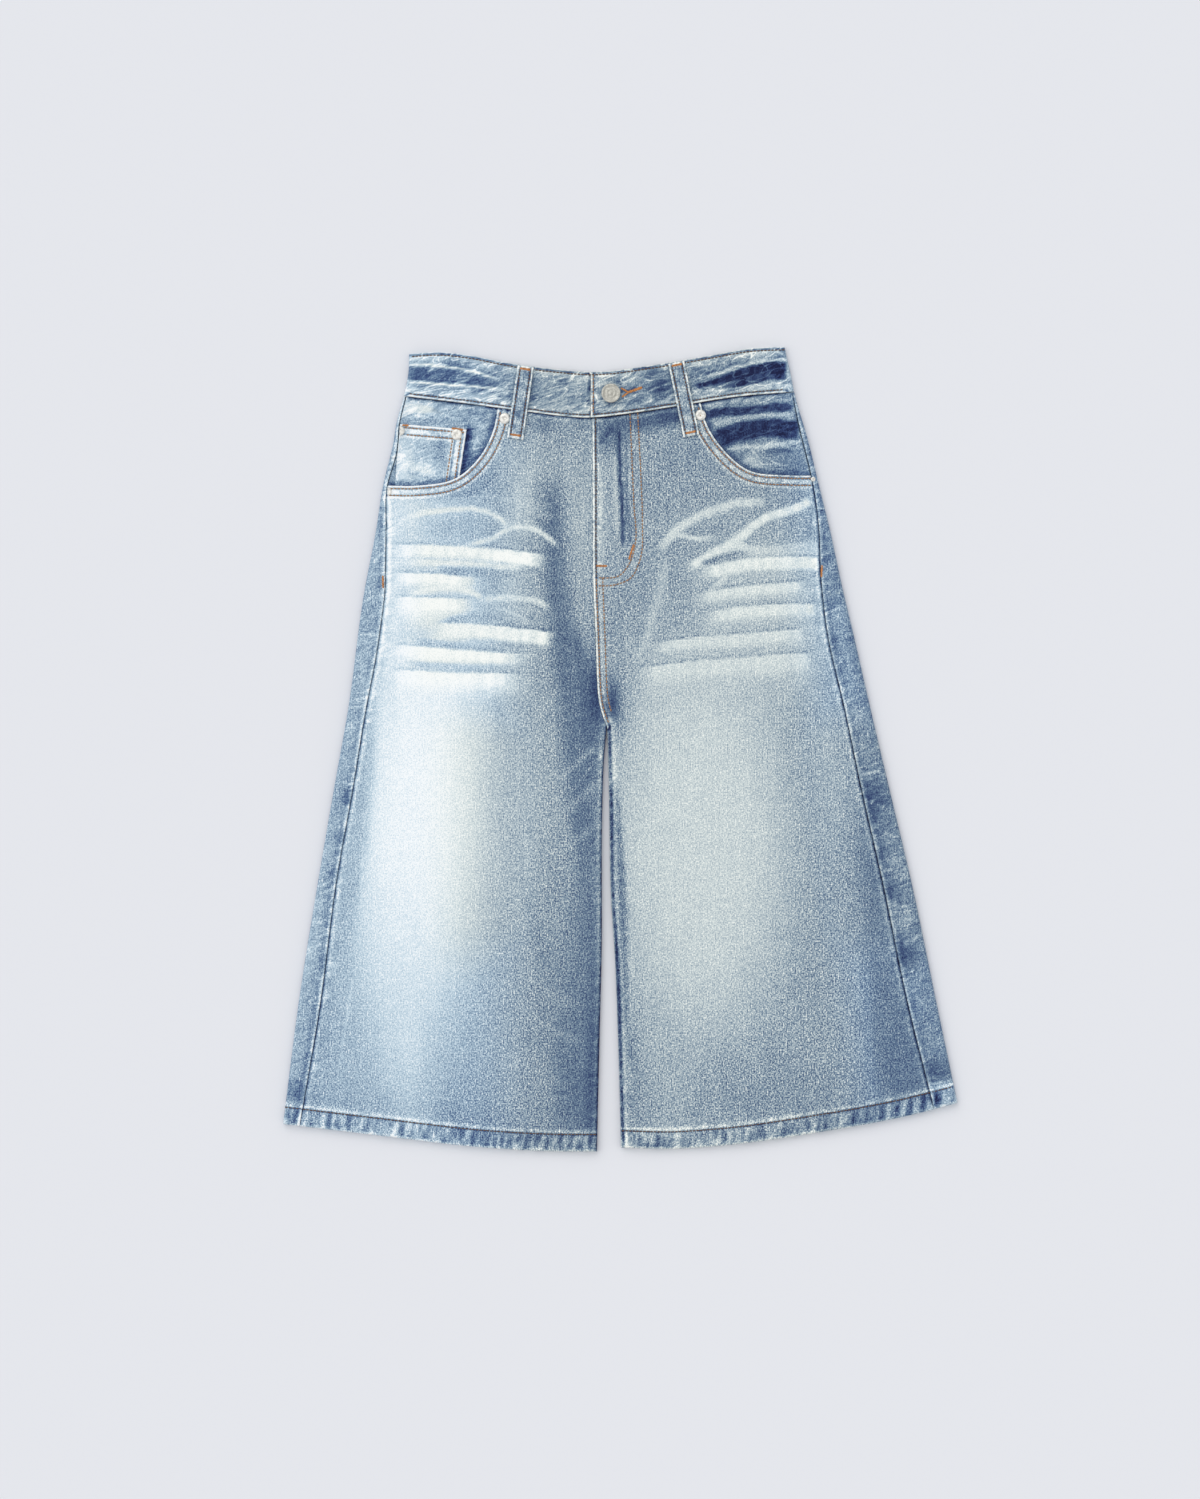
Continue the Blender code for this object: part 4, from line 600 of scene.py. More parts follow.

# Broad bands of tone beside seams, of the wash and of painted shadow
SEAM_BANDS_AND_SHADOWS = {
    # area: line, offset, half width, tone, share
    "front_right": [("hem", 5, 13, 0.60, 0.60), ("waist", 2, 5, 0.50, 0.50)],
    "front_left": [
        ("hem", 5, 13, 0.60, 0.60), ("waist", 2, 5, 0.42, 0.35), ("inseam", 6, 1.8, 0.80, 0.40),
        ("fly_inner", 3.3, 2, 0.76, 0.35)
    ],
    "strip_right": [("hem", 5, 13, 0.62, 0.60)], "strip_left": [("hem", 5, 13, 0.58, 0.60)],
    "facing_right": [
        # the mouth rows here and below, and the coin_side row: painted shadow that the edge above casts on
        # the cloth beneath
        ("mouth", -1.2, 3, 0.34, 0.80), ("waist", 1, 3.5, 0.48, 0.50), ("coin_side", -1.8, 2.6, 0.16, 0.95)
    ],
    "facing_left": [("mouth", -1.2, 3, 0.30, 0.80), ("waist", 1, 2.5, 0.40, 0.50)],
    "coin_pocket": [("mouth", -1.2, 3, 0.40, 0.80)], "under": [("hem", 5, 13, 0.60, 0.60)]
}

# The seams of each area by the way they are made, the offset of their line, and the side of it that
# shows them: 1 is inside the piece, -1 outside, 0 both
SEAM_KINDS = {
    # area: kind, line, offset, side
    "front_right": [
        ("rows", "mouth", 0, 0), ("butt", "outseam", 0, 0), ("butt", "inseam", 0, 0),
        ("butt", "waist", 0, 0), ("hem", "hem", 0, 0)
    ],
    "front_left": [
        ("rows", "mouth", 0, 0), ("row", "fly", 0, 0), ("butt", "outseam", 0, 0), ("butt", "waist", 0, 0),
        ("butt", "inseam", 2, 0), ("hem", "hem", 0, 0)
    ],
    "strip_right": [("ridge", "outseam", 0, 0), ("hem", "hem", 0, 0)],
    "strip_left": [("ridge", "outseam", 0, 0), ("hem", "hem", 0, 0)],
    "facing_right": [("butt", "waist", 0, 0)], "facing_left": [("butt", "waist", 0, 0)],
    "coin_pocket": [("rows", "coin_top", 0, 0), ("rows", "coin_side", 0, 0)],
    "waistband": [
        ("row", "band_top", -1.2, 0), ("row", "band_foot", 0, 0), ("row", "band_end", 0, 1),
        # outside the lapping end, a dark line: painted shadow of that end on the band beneath
        ("butt", "band_end", 0, -1)
    ],
    "waistband_back": [("row", "band_top", -1.2, 0), ("row", "band_foot", 0, 0)],
    "under": [
        ("butt", "seat", 0, 0), ("rows", "yoke", 0, -1), ("butt", "inseam", 0, 0), ("hem", "hem", 0, 0)
    ]
}

# Rows of stitches: most seams are sewn with two of them side by side
STITCH_ROWS = [
    # piece, line, offsets, from share, to share, thread
    ("front_right", "hem", [15.3], 0, 1, "hem"), ("front_left", "hem", [15.3], 0, 1, "hem"),
    ("front_right", "mouth", [2.8, 9], 0.02, 1, "tan"), ("front_left", "mouth", [2.8, 9], 0, 0.98, "tan"),
    ("front_left", "fly_inner", [0], 0, 1, "tan"), ("front_left", "fly_outer", [0], 0, 1, "tan"),
    ("front_left", "fly", [2.6], 0.52, 1, "tan"), ("front_left", "fly", [8.4], 0.52, 0.96, "tan"),
    ("coin_pocket", "coin_top", [2.9], 0.03, 0.97, "tan"),
    ("coin_pocket", "coin_top", [9.2], 0.10, 0.90, "tan"),
    ("coin_pocket", "coin_side", [4, 11.2], 0.06, 1, "tan"), ("waistband", "band_top", [2.6], 0, 1, "hem"),
    ("waistband", "band_foot", [2.7], 0, 1, "hem"), ("waistband", "band_end", [2.2], 0.05, 0.95, "tan"),
    ("front_left", "fly", [2.7], 0, 0.52, "hem")
]

# The same on the side that lies on the table
UNDER_ROWS = [
    # piece, line, offsets, from share, to share, thread
    ("back_right", "hem", [15.3], 0.03, 0.97, "hem"), ("back_left", "hem", [15.3], 0.03, 0.97, "hem"),
    ("back_left", "seat", [2.8, 9], 0.29, 0.98, "tan"), ("yoke_left", "seat", [2.8, 9], 0.02, 0.26, "tan"),
    ("yoke_right", "yoke_foot", [2.8, 9], 0.02, 0.48, "tan"),
    ("yoke_left", "yoke_foot", [2.8, 9], 0.50, 0.98, "tan"),
    ("waistband", "band_foot", [2.7], 0.03, 0.97, "hem"),
    ("waistband", "band_top", [2.6], 0.03, 0.97, "hem"),
    ("back_pocket_right", "pocket", [2.8], 0, 1, "tan"),
    ("back_pocket_right", "pocket", [9], 0.02, 0.98, "tan"),
    ("back_pocket_right", "pocket_top", [14], 0, 1, "tan"),
    ("back_pocket_left", "pocket", [2.8], 0, 1, "tan"),
    ("back_pocket_left", "pocket", [9], 0.02, 0.98, "tan"),
    ("back_pocket_left", "pocket_top", [14], 0, 1, "tan")
]

# Bar tacks, each a short close zigzag of thread from one end to the other
BAR_TACKS = [
    # piece, from x, from y, to x, to y, width
    ("front_left", -21.8, 164.6, -11.9, 164.4, 1.8), ("front_left", 12.1, 183.7, 7.9, 170.4, 1.8),
    ("back_right", -213.6, 155.6, -213.4, 144.8, 1.8), ("back_left", 181.6, 165, 181, 154.5, 1.8),
    ("coin_pocket", -196, 291.2, -190.6, 290.9, 2), ("coin_pocket", -151.4, 288.4, -141.5, 286.9, 2.2),
    ("waistband", 0.8, 324.4, 7, 320.9, 1.7), ("waistband", 1.6, 316.6, 7, 320.2, 1.7),
    ("waistband", 6.2, 320.3, 19.6, 325, 2.5)
]


# Curves and surfaces of the flat garment


def ease(value, start, end):
    """Rises softly from 0 at start to 1 at end."""
    share = np.clip((np.asarray(value, float) - start) / (end - start), 0.0, 1.0)
    return share * share * (3.0 - 2.0 * share)


def bell(value, centre, half_width):
    """1 at the centre, and falling off softly on both sides."""
    return np.exp(-(((value - centre) / half_width) ** 2))


def through(table, at):
    """The smooth curve through the table's rows of (key, value), read at the keys given."""
    keys, values = np.array(table, float).T
    slopes = np.gradient(values, keys)
    at = np.asarray(at, float)
    held = np.clip(at, keys[0], keys[-1])
    index = np.clip(np.searchsorted(keys, held) - 1, 0, len(keys) - 2)
    span = keys[index + 1] - keys[index]
    t = (held - keys[index]) / span
    start = values[index] * (1 + 2 * t) * (1 - t) ** 2 + slopes[index] * span * t * (1 - t) ** 2
    end = values[index + 1] * t * t * (3 - 2 * t) + slopes[index + 1] * span * t * t * (t - 1)
    beyond = np.where(at < held, slopes[0], slopes[-1]) * (at - held)
    return start + end + beyond


def along(points, share):
    """The smooth curve through plan points, read at a share of its length."""
    points = np.array(points, float)
    steps = np.hypot(*np.diff(points, axis=0).T)
    reach = np.concatenate([[0.0], np.cumsum(steps)]) / steps.sum()
    xs = through(list(zip(reach, points[:, 0])), share)
    ys = through(list(zip(reach, points[:, 1])), share)
    return xs, ys


def side_fold(side, y):
    return through(SIDE_FOLD[side], y)


def outseam(side, y):
    return side_fold(side, y) - SIDE_SIGN[side] * through(OUTSEAM_INSET[side], y)


def mouth_curve(side):
    """The pocket mouth's points, ending on the outseam."""
    foot_y = MOUTH_FOOT_Y[side]
    foot_x = float(outseam(side, foot_y)) - SIDE_SIGN[side] * SEAM_GAP
    return POCKET_MOUTH[side] + [(foot_x, foot_y)]


def centre_seam(y):
    return through(CENTRE_SEAM, y)


def yoke_seam(x):
    return YOKE_CENTRE_Y + YOKE_SLOPE * np.abs(np.asarray(x, float) - centre_seam(YOKE_CENTRE_Y))


def inner_line(side, y):
    """The inner limit of a panel: the centre seam above the crotch, the leg's inner fold below it."""
    above = centre_seam(y) + SIDE_SIGN[side] * SEAM_GAP / 2
    return np.where(np.asarray(y) > CROTCH_Y, above, through(INNER_EDGE[side], np.minimum(y, CROTCH_Y)))


def nearest_side(x, y):
    """The inset of a point from the nearer side fold."""
    return np.minimum(x - side_fold("right", y), side_fold("left", y) - x)


def inset_all(x, y):
    """The inset of a point from the nearest fold, those between the legs included."""
    legs = np.where(x < centre_seam(CROTCH_Y), inner_line("right", y) - x, x - inner_line("left", y))
    between = np.where(np.asarray(y) < CROTCH_Y, legs, legs + (np.asarray(y) - CROTCH_Y))
    return np.minimum(nearest_side(x, y), between)


def crease(x, y, row):
    """A soft ridge or trough along a line, with rounded ends."""
    x0, y0, x1, y1, half_width, height = row
    length = math.hypot(x1 - x0, y1 - y0)
    ux, uy = (x1 - x0) / length, (y1 - y0) / length
    run = (x - x0) * ux + (y - y0) * uy
    across = (x - x0) * uy - (y - y0) * ux
    over = np.maximum(0.0, np.maximum(-run, run - length))
    return height * np.exp(-((across / half_width) ** 2) - (over / (2 * half_width)) ** 2)


def upper_height(x, y):
    """The height of the garment's upper skin above the table, away from the folds."""
    relief = -LEG_SINK * ease(y, *LEG_SINK_Y)
    for cx, cy, half_width, half_height, height in SWELLS:
        relief = relief + height * np.exp(-(((x - cx) / half_width) ** 4) - ((y - cy) / half_height) ** 4)
    for row in CREASES:
        relief = relief + crease(x, y, row)
    return 2 * FOLD_RADIUS + relief * ease(inset_all(x, y), FOLD_RADIUS, EDGE_FADE)


def under_height(x, y):
    """The height of the garment's lower skin: 0, or one layer over a loop or a patch pocket."""
    lift = np.zeros_like(np.asarray(x, float))
    for x_from, x_to, y_from, y_to in UNDER_ZONES:
        outside = np.maximum.reduce([x_from - x, x - x_to, y_from - y, y - y_to])
        lift = np.maximum(lift, ease(outside, ZONE_MARGIN + ZONE_RAMP, ZONE_MARGIN))
    return LAYER * lift * ease(nearest_side(x, y), FOLD_RADIUS, FOLD_RADIUS + ZONE_MARGIN)


def upper_skin(side, x, y, depth):
    """The point of the upper side over plan point x, y, moved inwards by depth, round the side fold too."""
    sign = SIDE_SIGN[side]
    edge = side_fold(side, y)
    inset = (edge - x) * sign
    cosine = np.clip((FOLD_RADIUS - inset) / FOLD_RADIUS, 0.0, 1.0)
    sine = np.sqrt(1.0 - cosine**2)
    on_fold = inset < FOLD_RADIUS
    arc_x = edge - sign * FOLD_RADIUS + sign * (FOLD_RADIUS - depth) * cosine
    arc_z = FOLD_RADIUS + (FOLD_RADIUS - depth) * sine
    return np.where(on_fold, arc_x, x), y, np.where(on_fold, arc_z, upper_height(x, y) - depth)


def waistband_height(x, y, over):
    """The waistband's outer height on the upper side; its free end lies over the other one."""
    swell = WAISTBAND_SWELL * ease(nearest_side(x, y), FOLD_RADIUS, EDGE_FADE)
    lap = np.where(over, LAP_RISE * ease(x, *LAP_RISE_X), -LAP_UNDER_SINK * ease(x, *LAP_UNDER_SINK_X))
    return 2 * FOLD_RADIUS + swell + lap


def facing_depth(side, x, y):
    """How far the pocket facing lies under the front; the coin pocket needs one layer more."""
    sunk = LAYER * ease((side_fold(side, y) - x) * SIDE_SIGN[side], *FACING_SINK[side])
    if side == "left":
        return sunk
    far, near = COIN_STEP
    coin_edge = COIN_POCKET["top_inner"][0]
    return LAYER + sunk * ease(x, coin_edge + far, coin_edge + near)


def at_stops(stops, key):
    """The value at a key, on straight runs between (key, value) stops."""
    return np.interp(key, *np.array(stops, float).T)


def open_fold(y):
    """How far the leg's inner fold is open at a height: not at all above the crotch."""
    return ease(y, CROTCH_Y, CROTCH_Y - CROTCH_ROW_HEIGHT)


def spread(start, end, count):
    return np.linspace(start, end, count)


def lines_of(*runs):
    """The grid lines of runs of (start, end, count), each of which goes on from the end of the last."""
    return np.concatenate([spread(*run)[min(index, 1) :] for index, run in enumerate(runs)])


# Seams as lines, each run so that the inside of its piece is on its left

# Shares along one edge of a patch pocket
ONE_EDGE = spread(0.05, 0.95, 13)


# The yoke seam runs this far past the ends of the waist, to the side folds
YOKE_OVERRUN = 9.0


def seam_line(name, side):
    """The plan points of a seam on one side."""
    if name in FLY_ROWS:
        return np.stack(along(FLY_ROWS[name], spread(0.0, 1.0, 36)), axis=1)
    corner = COIN_POCKET
    if name == "coin_top":
        return np.array([corner["top_inner"], corner["top_outer"]])
    if name == "coin_side":
        return np.array([corner["foot_inner"], corner["top_inner"]])
    if name == "band_end":
        return np.array([(LAP_END_X, float(through(WAIST_TOP, LAP_END_X))), (LAP_END_X, WAIST_CENTRE_Y)])
    if name == "pocket":
        edges = [(0 * ONE_EDGE, 1 - ONE_EDGE), (ONE_EDGE, 0 * ONE_EDGE), (0 * ONE_EDGE + 1, ONE_EDGE)]
        return np.concatenate([np.stack(back_pocket_point(side, u, v), axis=1) for u, v in edges])
    if name == "pocket_top":
        return np.stack(back_pocket_point(side, 1 - ONE_EDGE, 0 * ONE_EDGE + 1), axis=1)
    if name == "mouth":
        points = np.stack(along(mouth_curve(side), spread(0.0, 1.0, 30)), axis=1)
        return points if side == "right" else points[::-1]
    if name in ("hem", "waist", "band_foot", "band_top", "yoke", "yoke_foot"):
        edge = HEM_EDGE[side] if name == "hem" else WAIST_TOP
        reach = YOKE_OVERRUN if name.startswith("yoke") else 0.0
        x = spread(edge[0][0] - reach, edge[-1][0] + reach, 60)
        if name.startswith("yoke"):
            y = yoke_seam(x)
        else:
            y = through(edge if name in ("hem", "band_top") else WAIST_SEAM, x)
        points = np.stack([x, y], axis=1)
        return points[::-1] if name in ("waist", "band_top", "yoke") else points
    low, high = {
        "outseam": (SIDE_FOLD[side][0][0], WAIST_SIDE_Y), "inseam": (INNER_EDGE[side][0][0], CROTCH_Y),
        "fly": (CROTCH_Y, WAIST_CENTRE_Y), "seat": (CROTCH_Y, WAIST_CENTRE_Y)
    }[name]
    y = spread(low, high, 50)
    x = outseam(side, y) if name == "outseam" else inner_line(side, y)
    points = np.stack([x, y], axis=1)
    turned_round = (side == "right") == (name == "outseam")
    return points[::-1] if turned_round else points


def beside(points, x, y):
    """How far each place lies to the left of a line, how far along it, and the line's length."""
    nearest = np.full(np.shape(x), np.inf)
    across = np.zeros(np.shape(x))
    run = np.zeros(np.shape(x))
    before = 0.0
    points = np.asarray(points, float)
    for start, end in zip(points, points[1:]):
        step_x, step_y = end - start
        length = math.hypot(step_x, step_y)
        share = np.clip(((x - start[0]) * step_x + (y - start[1]) * step_y) / length**2, 0.0, 1.0)
        away_x = x - start[0] - share * step_x
        away_y = y - start[1] - share * step_y
        away = np.hypot(away_x, away_y)
        closer = away < nearest
        nearest = np.where(closer, away, nearest)
        across = np.where(closer, np.copysign(away, step_x * away_y - step_y * away_x), across)
        run = np.where(closer, before + share * length, run)
        before += length
    return across, run, before


def uneven(run, pitch, seed):
    """A wave along a seam that drifts in pitch, from 0 to 1."""
    drift = 1.2 * np.sin(2 * math.pi * run / (3.7 * pitch) + seed)
    drift = drift + 0.8 * np.sin(2 * math.pi * run / (7.3 * pitch) + 2.0 * seed)
    return 0.5 + 0.5 * np.sin(2 * math.pi * run / pitch + drift)


# The wash, and painted shade


# A hand-held brush wanders this far from its line, and lifts off it by this share
BRUSH_WOBBLE = 0.5
BRUSH_LIFT = 0.18
# A stroke's row of this many values is a short one
SHORT_STROKE = 5
# A stroke whose upper edge is narrower than this was sanded over a crease, and a darker line just above it
# is painted shade of the crease
CREASED_EDGE = 1.7
CREASE_PAINTED_SHADE_RISE = 2.4
CREASE_PAINTED_SHADE = 0.10
LOOP_CRINKLE = 0.35
# The folded cloth of a belt loop is this wide, a little past its solid on both sides
LOOP_CLOTH_WIDTH = LOOP_WIDTH + 2.2
LOOP_ROW = 4.6
LOOP_ROW_SHARES = (0.03, 0.98)
LOOP_GROOVE = 0.25
LOOP_GROOVE_WIDTH = 0.8
# Its tacks lie this far inside its foot and its top, and are this wide
LOOP_TACKS = (3.2, 2.4)
LOOP_TACK_WIDTH = 2.2
# A back loop ends this far under the waistband's top edge
BACK_LOOP_TOP = 1.0


def mixed(tone, target, share):
    return tone + (target - tone) * share


def patch_share(x, y, row):
    """How much of a patch's tone each point takes, 1 at its centre."""
    centre_x, centre_y, half_width, half_height, _, _, *shape = row
    tilt, sharpness = shape or (0, 2)
    turn = math.radians(tilt)
    across = (x - centre_x) * math.cos(turn) - (y - centre_y) * math.sin(turn)
    up = (x - centre_x) * math.sin(turn) + (y - centre_y) * math.cos(turn)
    return np.exp(-(np.hypot(across / half_width, up / half_height) ** sharpness))


def even_stroke(half_width, fade, tone, share, points):
    """The full row of a stroke that is alike on both sides and at both ends."""
    return half_width, 0, half_width, fade, fade, tone, share, points


def stroke_share(x, y, brush, points):
    """How much of a stroke's tone each point takes: all of it in the held width, less at its ends."""
    above, hold, below, fade_in, fade_out = brush
    smooth = np.stack(along(points, spread(0.0, 1.0, 3 * len(points))), axis=1)
    across, run, length = beside(smooth, x, y)
    across = across + BRUSH_WOBBLE * (uneven(run, 19.0, fade_in) - 0.5)
    sides = ease(across, above, 0.0) * ease(-across, hold + below, hold)
    pressed = 1.0 - BRUSH_LIFT * uneven(run, 13.0, length)
    return pressed * sides * ease(run, 0.0, fade_in) * ease(length - run, 0.0, fade_out)


def beside_seam(line, side, x, y, found):
    """The result of beside() for a seam, kept in found."""
    if line not in found:
        found[line] = beside(seam_line(line, side), x, y)
    return found[line]


def seam_relief(area, side, x, y, found):
    """How far the seams of an area raise its points."""
    relief = np.zeros(np.shape(x))
    rows = SEAM_RELIEF.get(area, []) + SEAM_RELIEF.get(area.split("_")[0], [])
    for line, offset, half_width, height, pucker, pitch, slant in rows:
        across, run, _ = beside_seam(line, side, x, y, found)
        strength = height * np.exp(-(((across - offset) / half_width) ** 4))
        relief = relief + strength * (1.0 - pucker * (1.0 - uneven(run + slant * across, pitch, offset)))
    return relief


def seam_nearness(area, side, x, y, found):
    """For each kind of seam, 1 on its nearest line, falling to 0 within SEAM_REACH."""
    near = {kind: np.zeros(np.shape(x)) for kind in SEAM_PROFILES}
    for kind, line, offset, shown in SEAM_KINDS[area]:
        away = beside_seam(line, side, x, y, found)[0] - offset
        seen = shown * away > -SEAM_SLACK
        near[kind] = np.maximum(near[kind], seen * (1.0 - np.abs(away) / SEAM_REACH))
    return near


def washed(area, x, y):
    """The tone that an area's wash and its painted shade give the cloth, without its seams."""
    tone = np.full(np.shape(x), BASE_TONE[area])
    for row in PATCHES.get(area, []):
        tone = mixed(tone, row[4], row[5] * patch_share(x, y, row))
    for row in STROKES.get(area, []):
        *brush, target, strength, points = row if len(row) > SHORT_STROKE else even_stroke(*row)
        share = strength * stroke_share(x, y, brush, points)
        # painted shade of the crease: a darker line just above a stroke with a sharp upper edge
        if brush[0] < CREASED_EDGE:
            above = strength * stroke_share(x, y - CREASE_PAINTED_SHADE_RISE, brush, points)
            tone = tone - CREASE_PAINTED_SHADE * above * (1.0 - share)
        tone = mixed(tone, target, share)
    return tone


def finished(area, side, x, y):
    """The relief of an area at plan points, and the finish that its material draws there: the tone of the
    wash with its painted shade and shadows, how crinkled the cloth is, and how near each kind of seam is."""
    found = {}
    relief = seam_relief(area, side, x, y, found)
    tone = washed(area, x, y)
    for line, offset, half_width, target, share in SEAM_BANDS_AND_SHADOWS.get(area, []):
        across, _, _ = beside_seam(line, side, x, y, found)
        tone = mixed(tone, target, share * bell(across, offset, half_width))
    finish = seam_nearness(area, side, x, y, found)
    reach = np.min([np.abs(found[line][0]) for _, line, _, _ in SEAM_KINDS[area]], axis=0)
    everywhere, near = CRINKLE[area]
    finish["crinkle"] = everywhere + near * bell(reach, 0, CRINKLE_REACH)
    finish["tone"] = tone
    return relief, finish


def between(first, second, share):
    """A finish that goes from the first to the second."""
    return {part: mixed(first[part], second[part], share) for part in first}


# Materials


def srgb(hex_colour):
    """A linear RGBA colour from an sRGB hex value."""
    channels = [int(hex_colour[index : index + 2], 16) / 255 for index in (1, 3, 5)]
    linear = [c / 12.92 if c <= 0.04045 else ((c + 0.055) / 1.055) ** 2.4 for c in channels]
    return (*linear, 1.0)


def add_node(tree, kind, settings=(), inputs=()):
    """Adds a node. An input is given a value or the output socket that feeds it."""
    made = tree.nodes.new(kind)
    for name, value in dict(settings).items():
        setattr(made, name, value)
    for name, value in dict(inputs).items():
        if isinstance(value, bpy.types.NodeSocket):
            tree.links.new(value, made.inputs[name])
        else:
            made.inputs[name].default_value = value
    return made


def new_material(name):
    """An empty material and its node tree."""
    made = bpy.data.materials.new(name)
    made.use_nodes = True
    made.node_tree.nodes.clear()
    return made, made.node_tree


def set_stops(ramp, stops):
    """Gives a colour ramp its (place, colour) stops."""
    while len(ramp.elements) < len(stops):
        ramp.elements.new(1.0)
    for element, (place, colour) in zip(ramp.elements, stops):
        element.position = place
        element.color = colour


def grain(tree, size, **inputs):
    """Noise in a piece's own space, with its grain of this size in metres."""
    place = add_node(tree, "ShaderNodeTexCoord")
    inputs = {"Vector": place.outputs["Object"], "Scale": 1.0 / size, **inputs}
    return add_node(tree, "ShaderNodeTexNoise", inputs=inputs).outputs["Fac"]


def finish_surface(tree, height, strength, inputs, distance=0.0002):
    """The shader with these inputs, bumped by a height at a strength, and the material's output."""
    bump = add_node(
        tree, "ShaderNodeBump", inputs={"Strength": strength, "Distance": distance, "Height": height}
    )
    inputs = {**inputs, "Normal": bump.outputs["Normal"]}
    shader = add_node(tree, "ShaderNodeBsdfPrincipled", inputs=inputs)
    add_node(tree, "ShaderNodeOutputMaterial", inputs={"Surface": shader.outputs["BSDF"]})


# Tone of the wash to the colour of the cloth, from raw indigo to bleached weft
DYE_STOPS = [
    # tone, clean cloth, and a greyer cloth used both for cloth that has yellowed a little and for painted
    # shade of folds
    (0.10, "#10183F", "#161D44"), (0.22, "#2C3D6E", "#2E4068"), (0.34, "#415881", "#465A7A"),
    (0.46, "#5C7799", "#60768D"), (0.56, "#768FA9", "#7F93A4"), (0.66, "#93A9BD", "#9CACB6"),
    (0.74, "#A9C0D1", "#B5C0C5"), (0.82, "#C0D3E0", "#CAD4D4"), (0.90, "#D8E6EF", "#E0E7E3"),
    (0.98, "#F8FBFD", "#FAFBF5")
]

# How much lighter or darker the cloth is at distances in millimetres from each kind of seam
SEAM_REACH = 20.0
SEAM_SLACK = 0.1
# the pale ridges are the wash worn off raised seams and the dark lines where pieces butt are their joints;
# the dips at the rows of stitches are painted shade of the grooves that the stitches pull in
SEAM_PROFILES = {
    "rows": [
        (0, 0.30), (1.2, 0.32), (2, -0.06), (2.8, -0.18), (3.5, -0.04), (4.6, 0.15), (7, 0.15),
        (8.3, -0.06), (9, -0.22), (9.7, 0), (10.6, 0.17), (13, 0)
    ],
    "row": [
        (0, 0.26), (1.2, 0.34), (2, -0.08), (2.7, -0.20), (3.4, -0.04), (4.6, 0.13), (8, 0.05), (12, 0)
    ],
    "butt": [(0, -0.28), (0.7, -0.28), (1.5, -0.05), (3, 0.10), (6, 0)],
    "ridge": [(0, -0.10), (0.5, 0.14), (1.1, 0.18), (1.8, 0.12), (2.8, 0), (4.5, -0.06), (8, 0)],
    "hem": [
        (0, 0.22), (1.3, 0.16), (2.4, 0), (13.8, 0), (15.3, -0.26), (16.2, 0.04), (17.2, 0.22),
        (18.6, 0.14), (20, 0)
    ]
}
# The hem's roping: its strength at distances from the bottom edge
ROPING = [(0, 0.2), (2, 1), (12.5, 1), (15, 0.35), (20, 0)]

# How much the yarns differ in tone: little in raw indigo and in bleached cloth, most between them
YARN_CONTRAST = [(0.20, 0.35), (0.42, 0.62), (0.60, 0.90), (0.72, 0.58), (0.84, 0.36), (0.96, 0.18)]


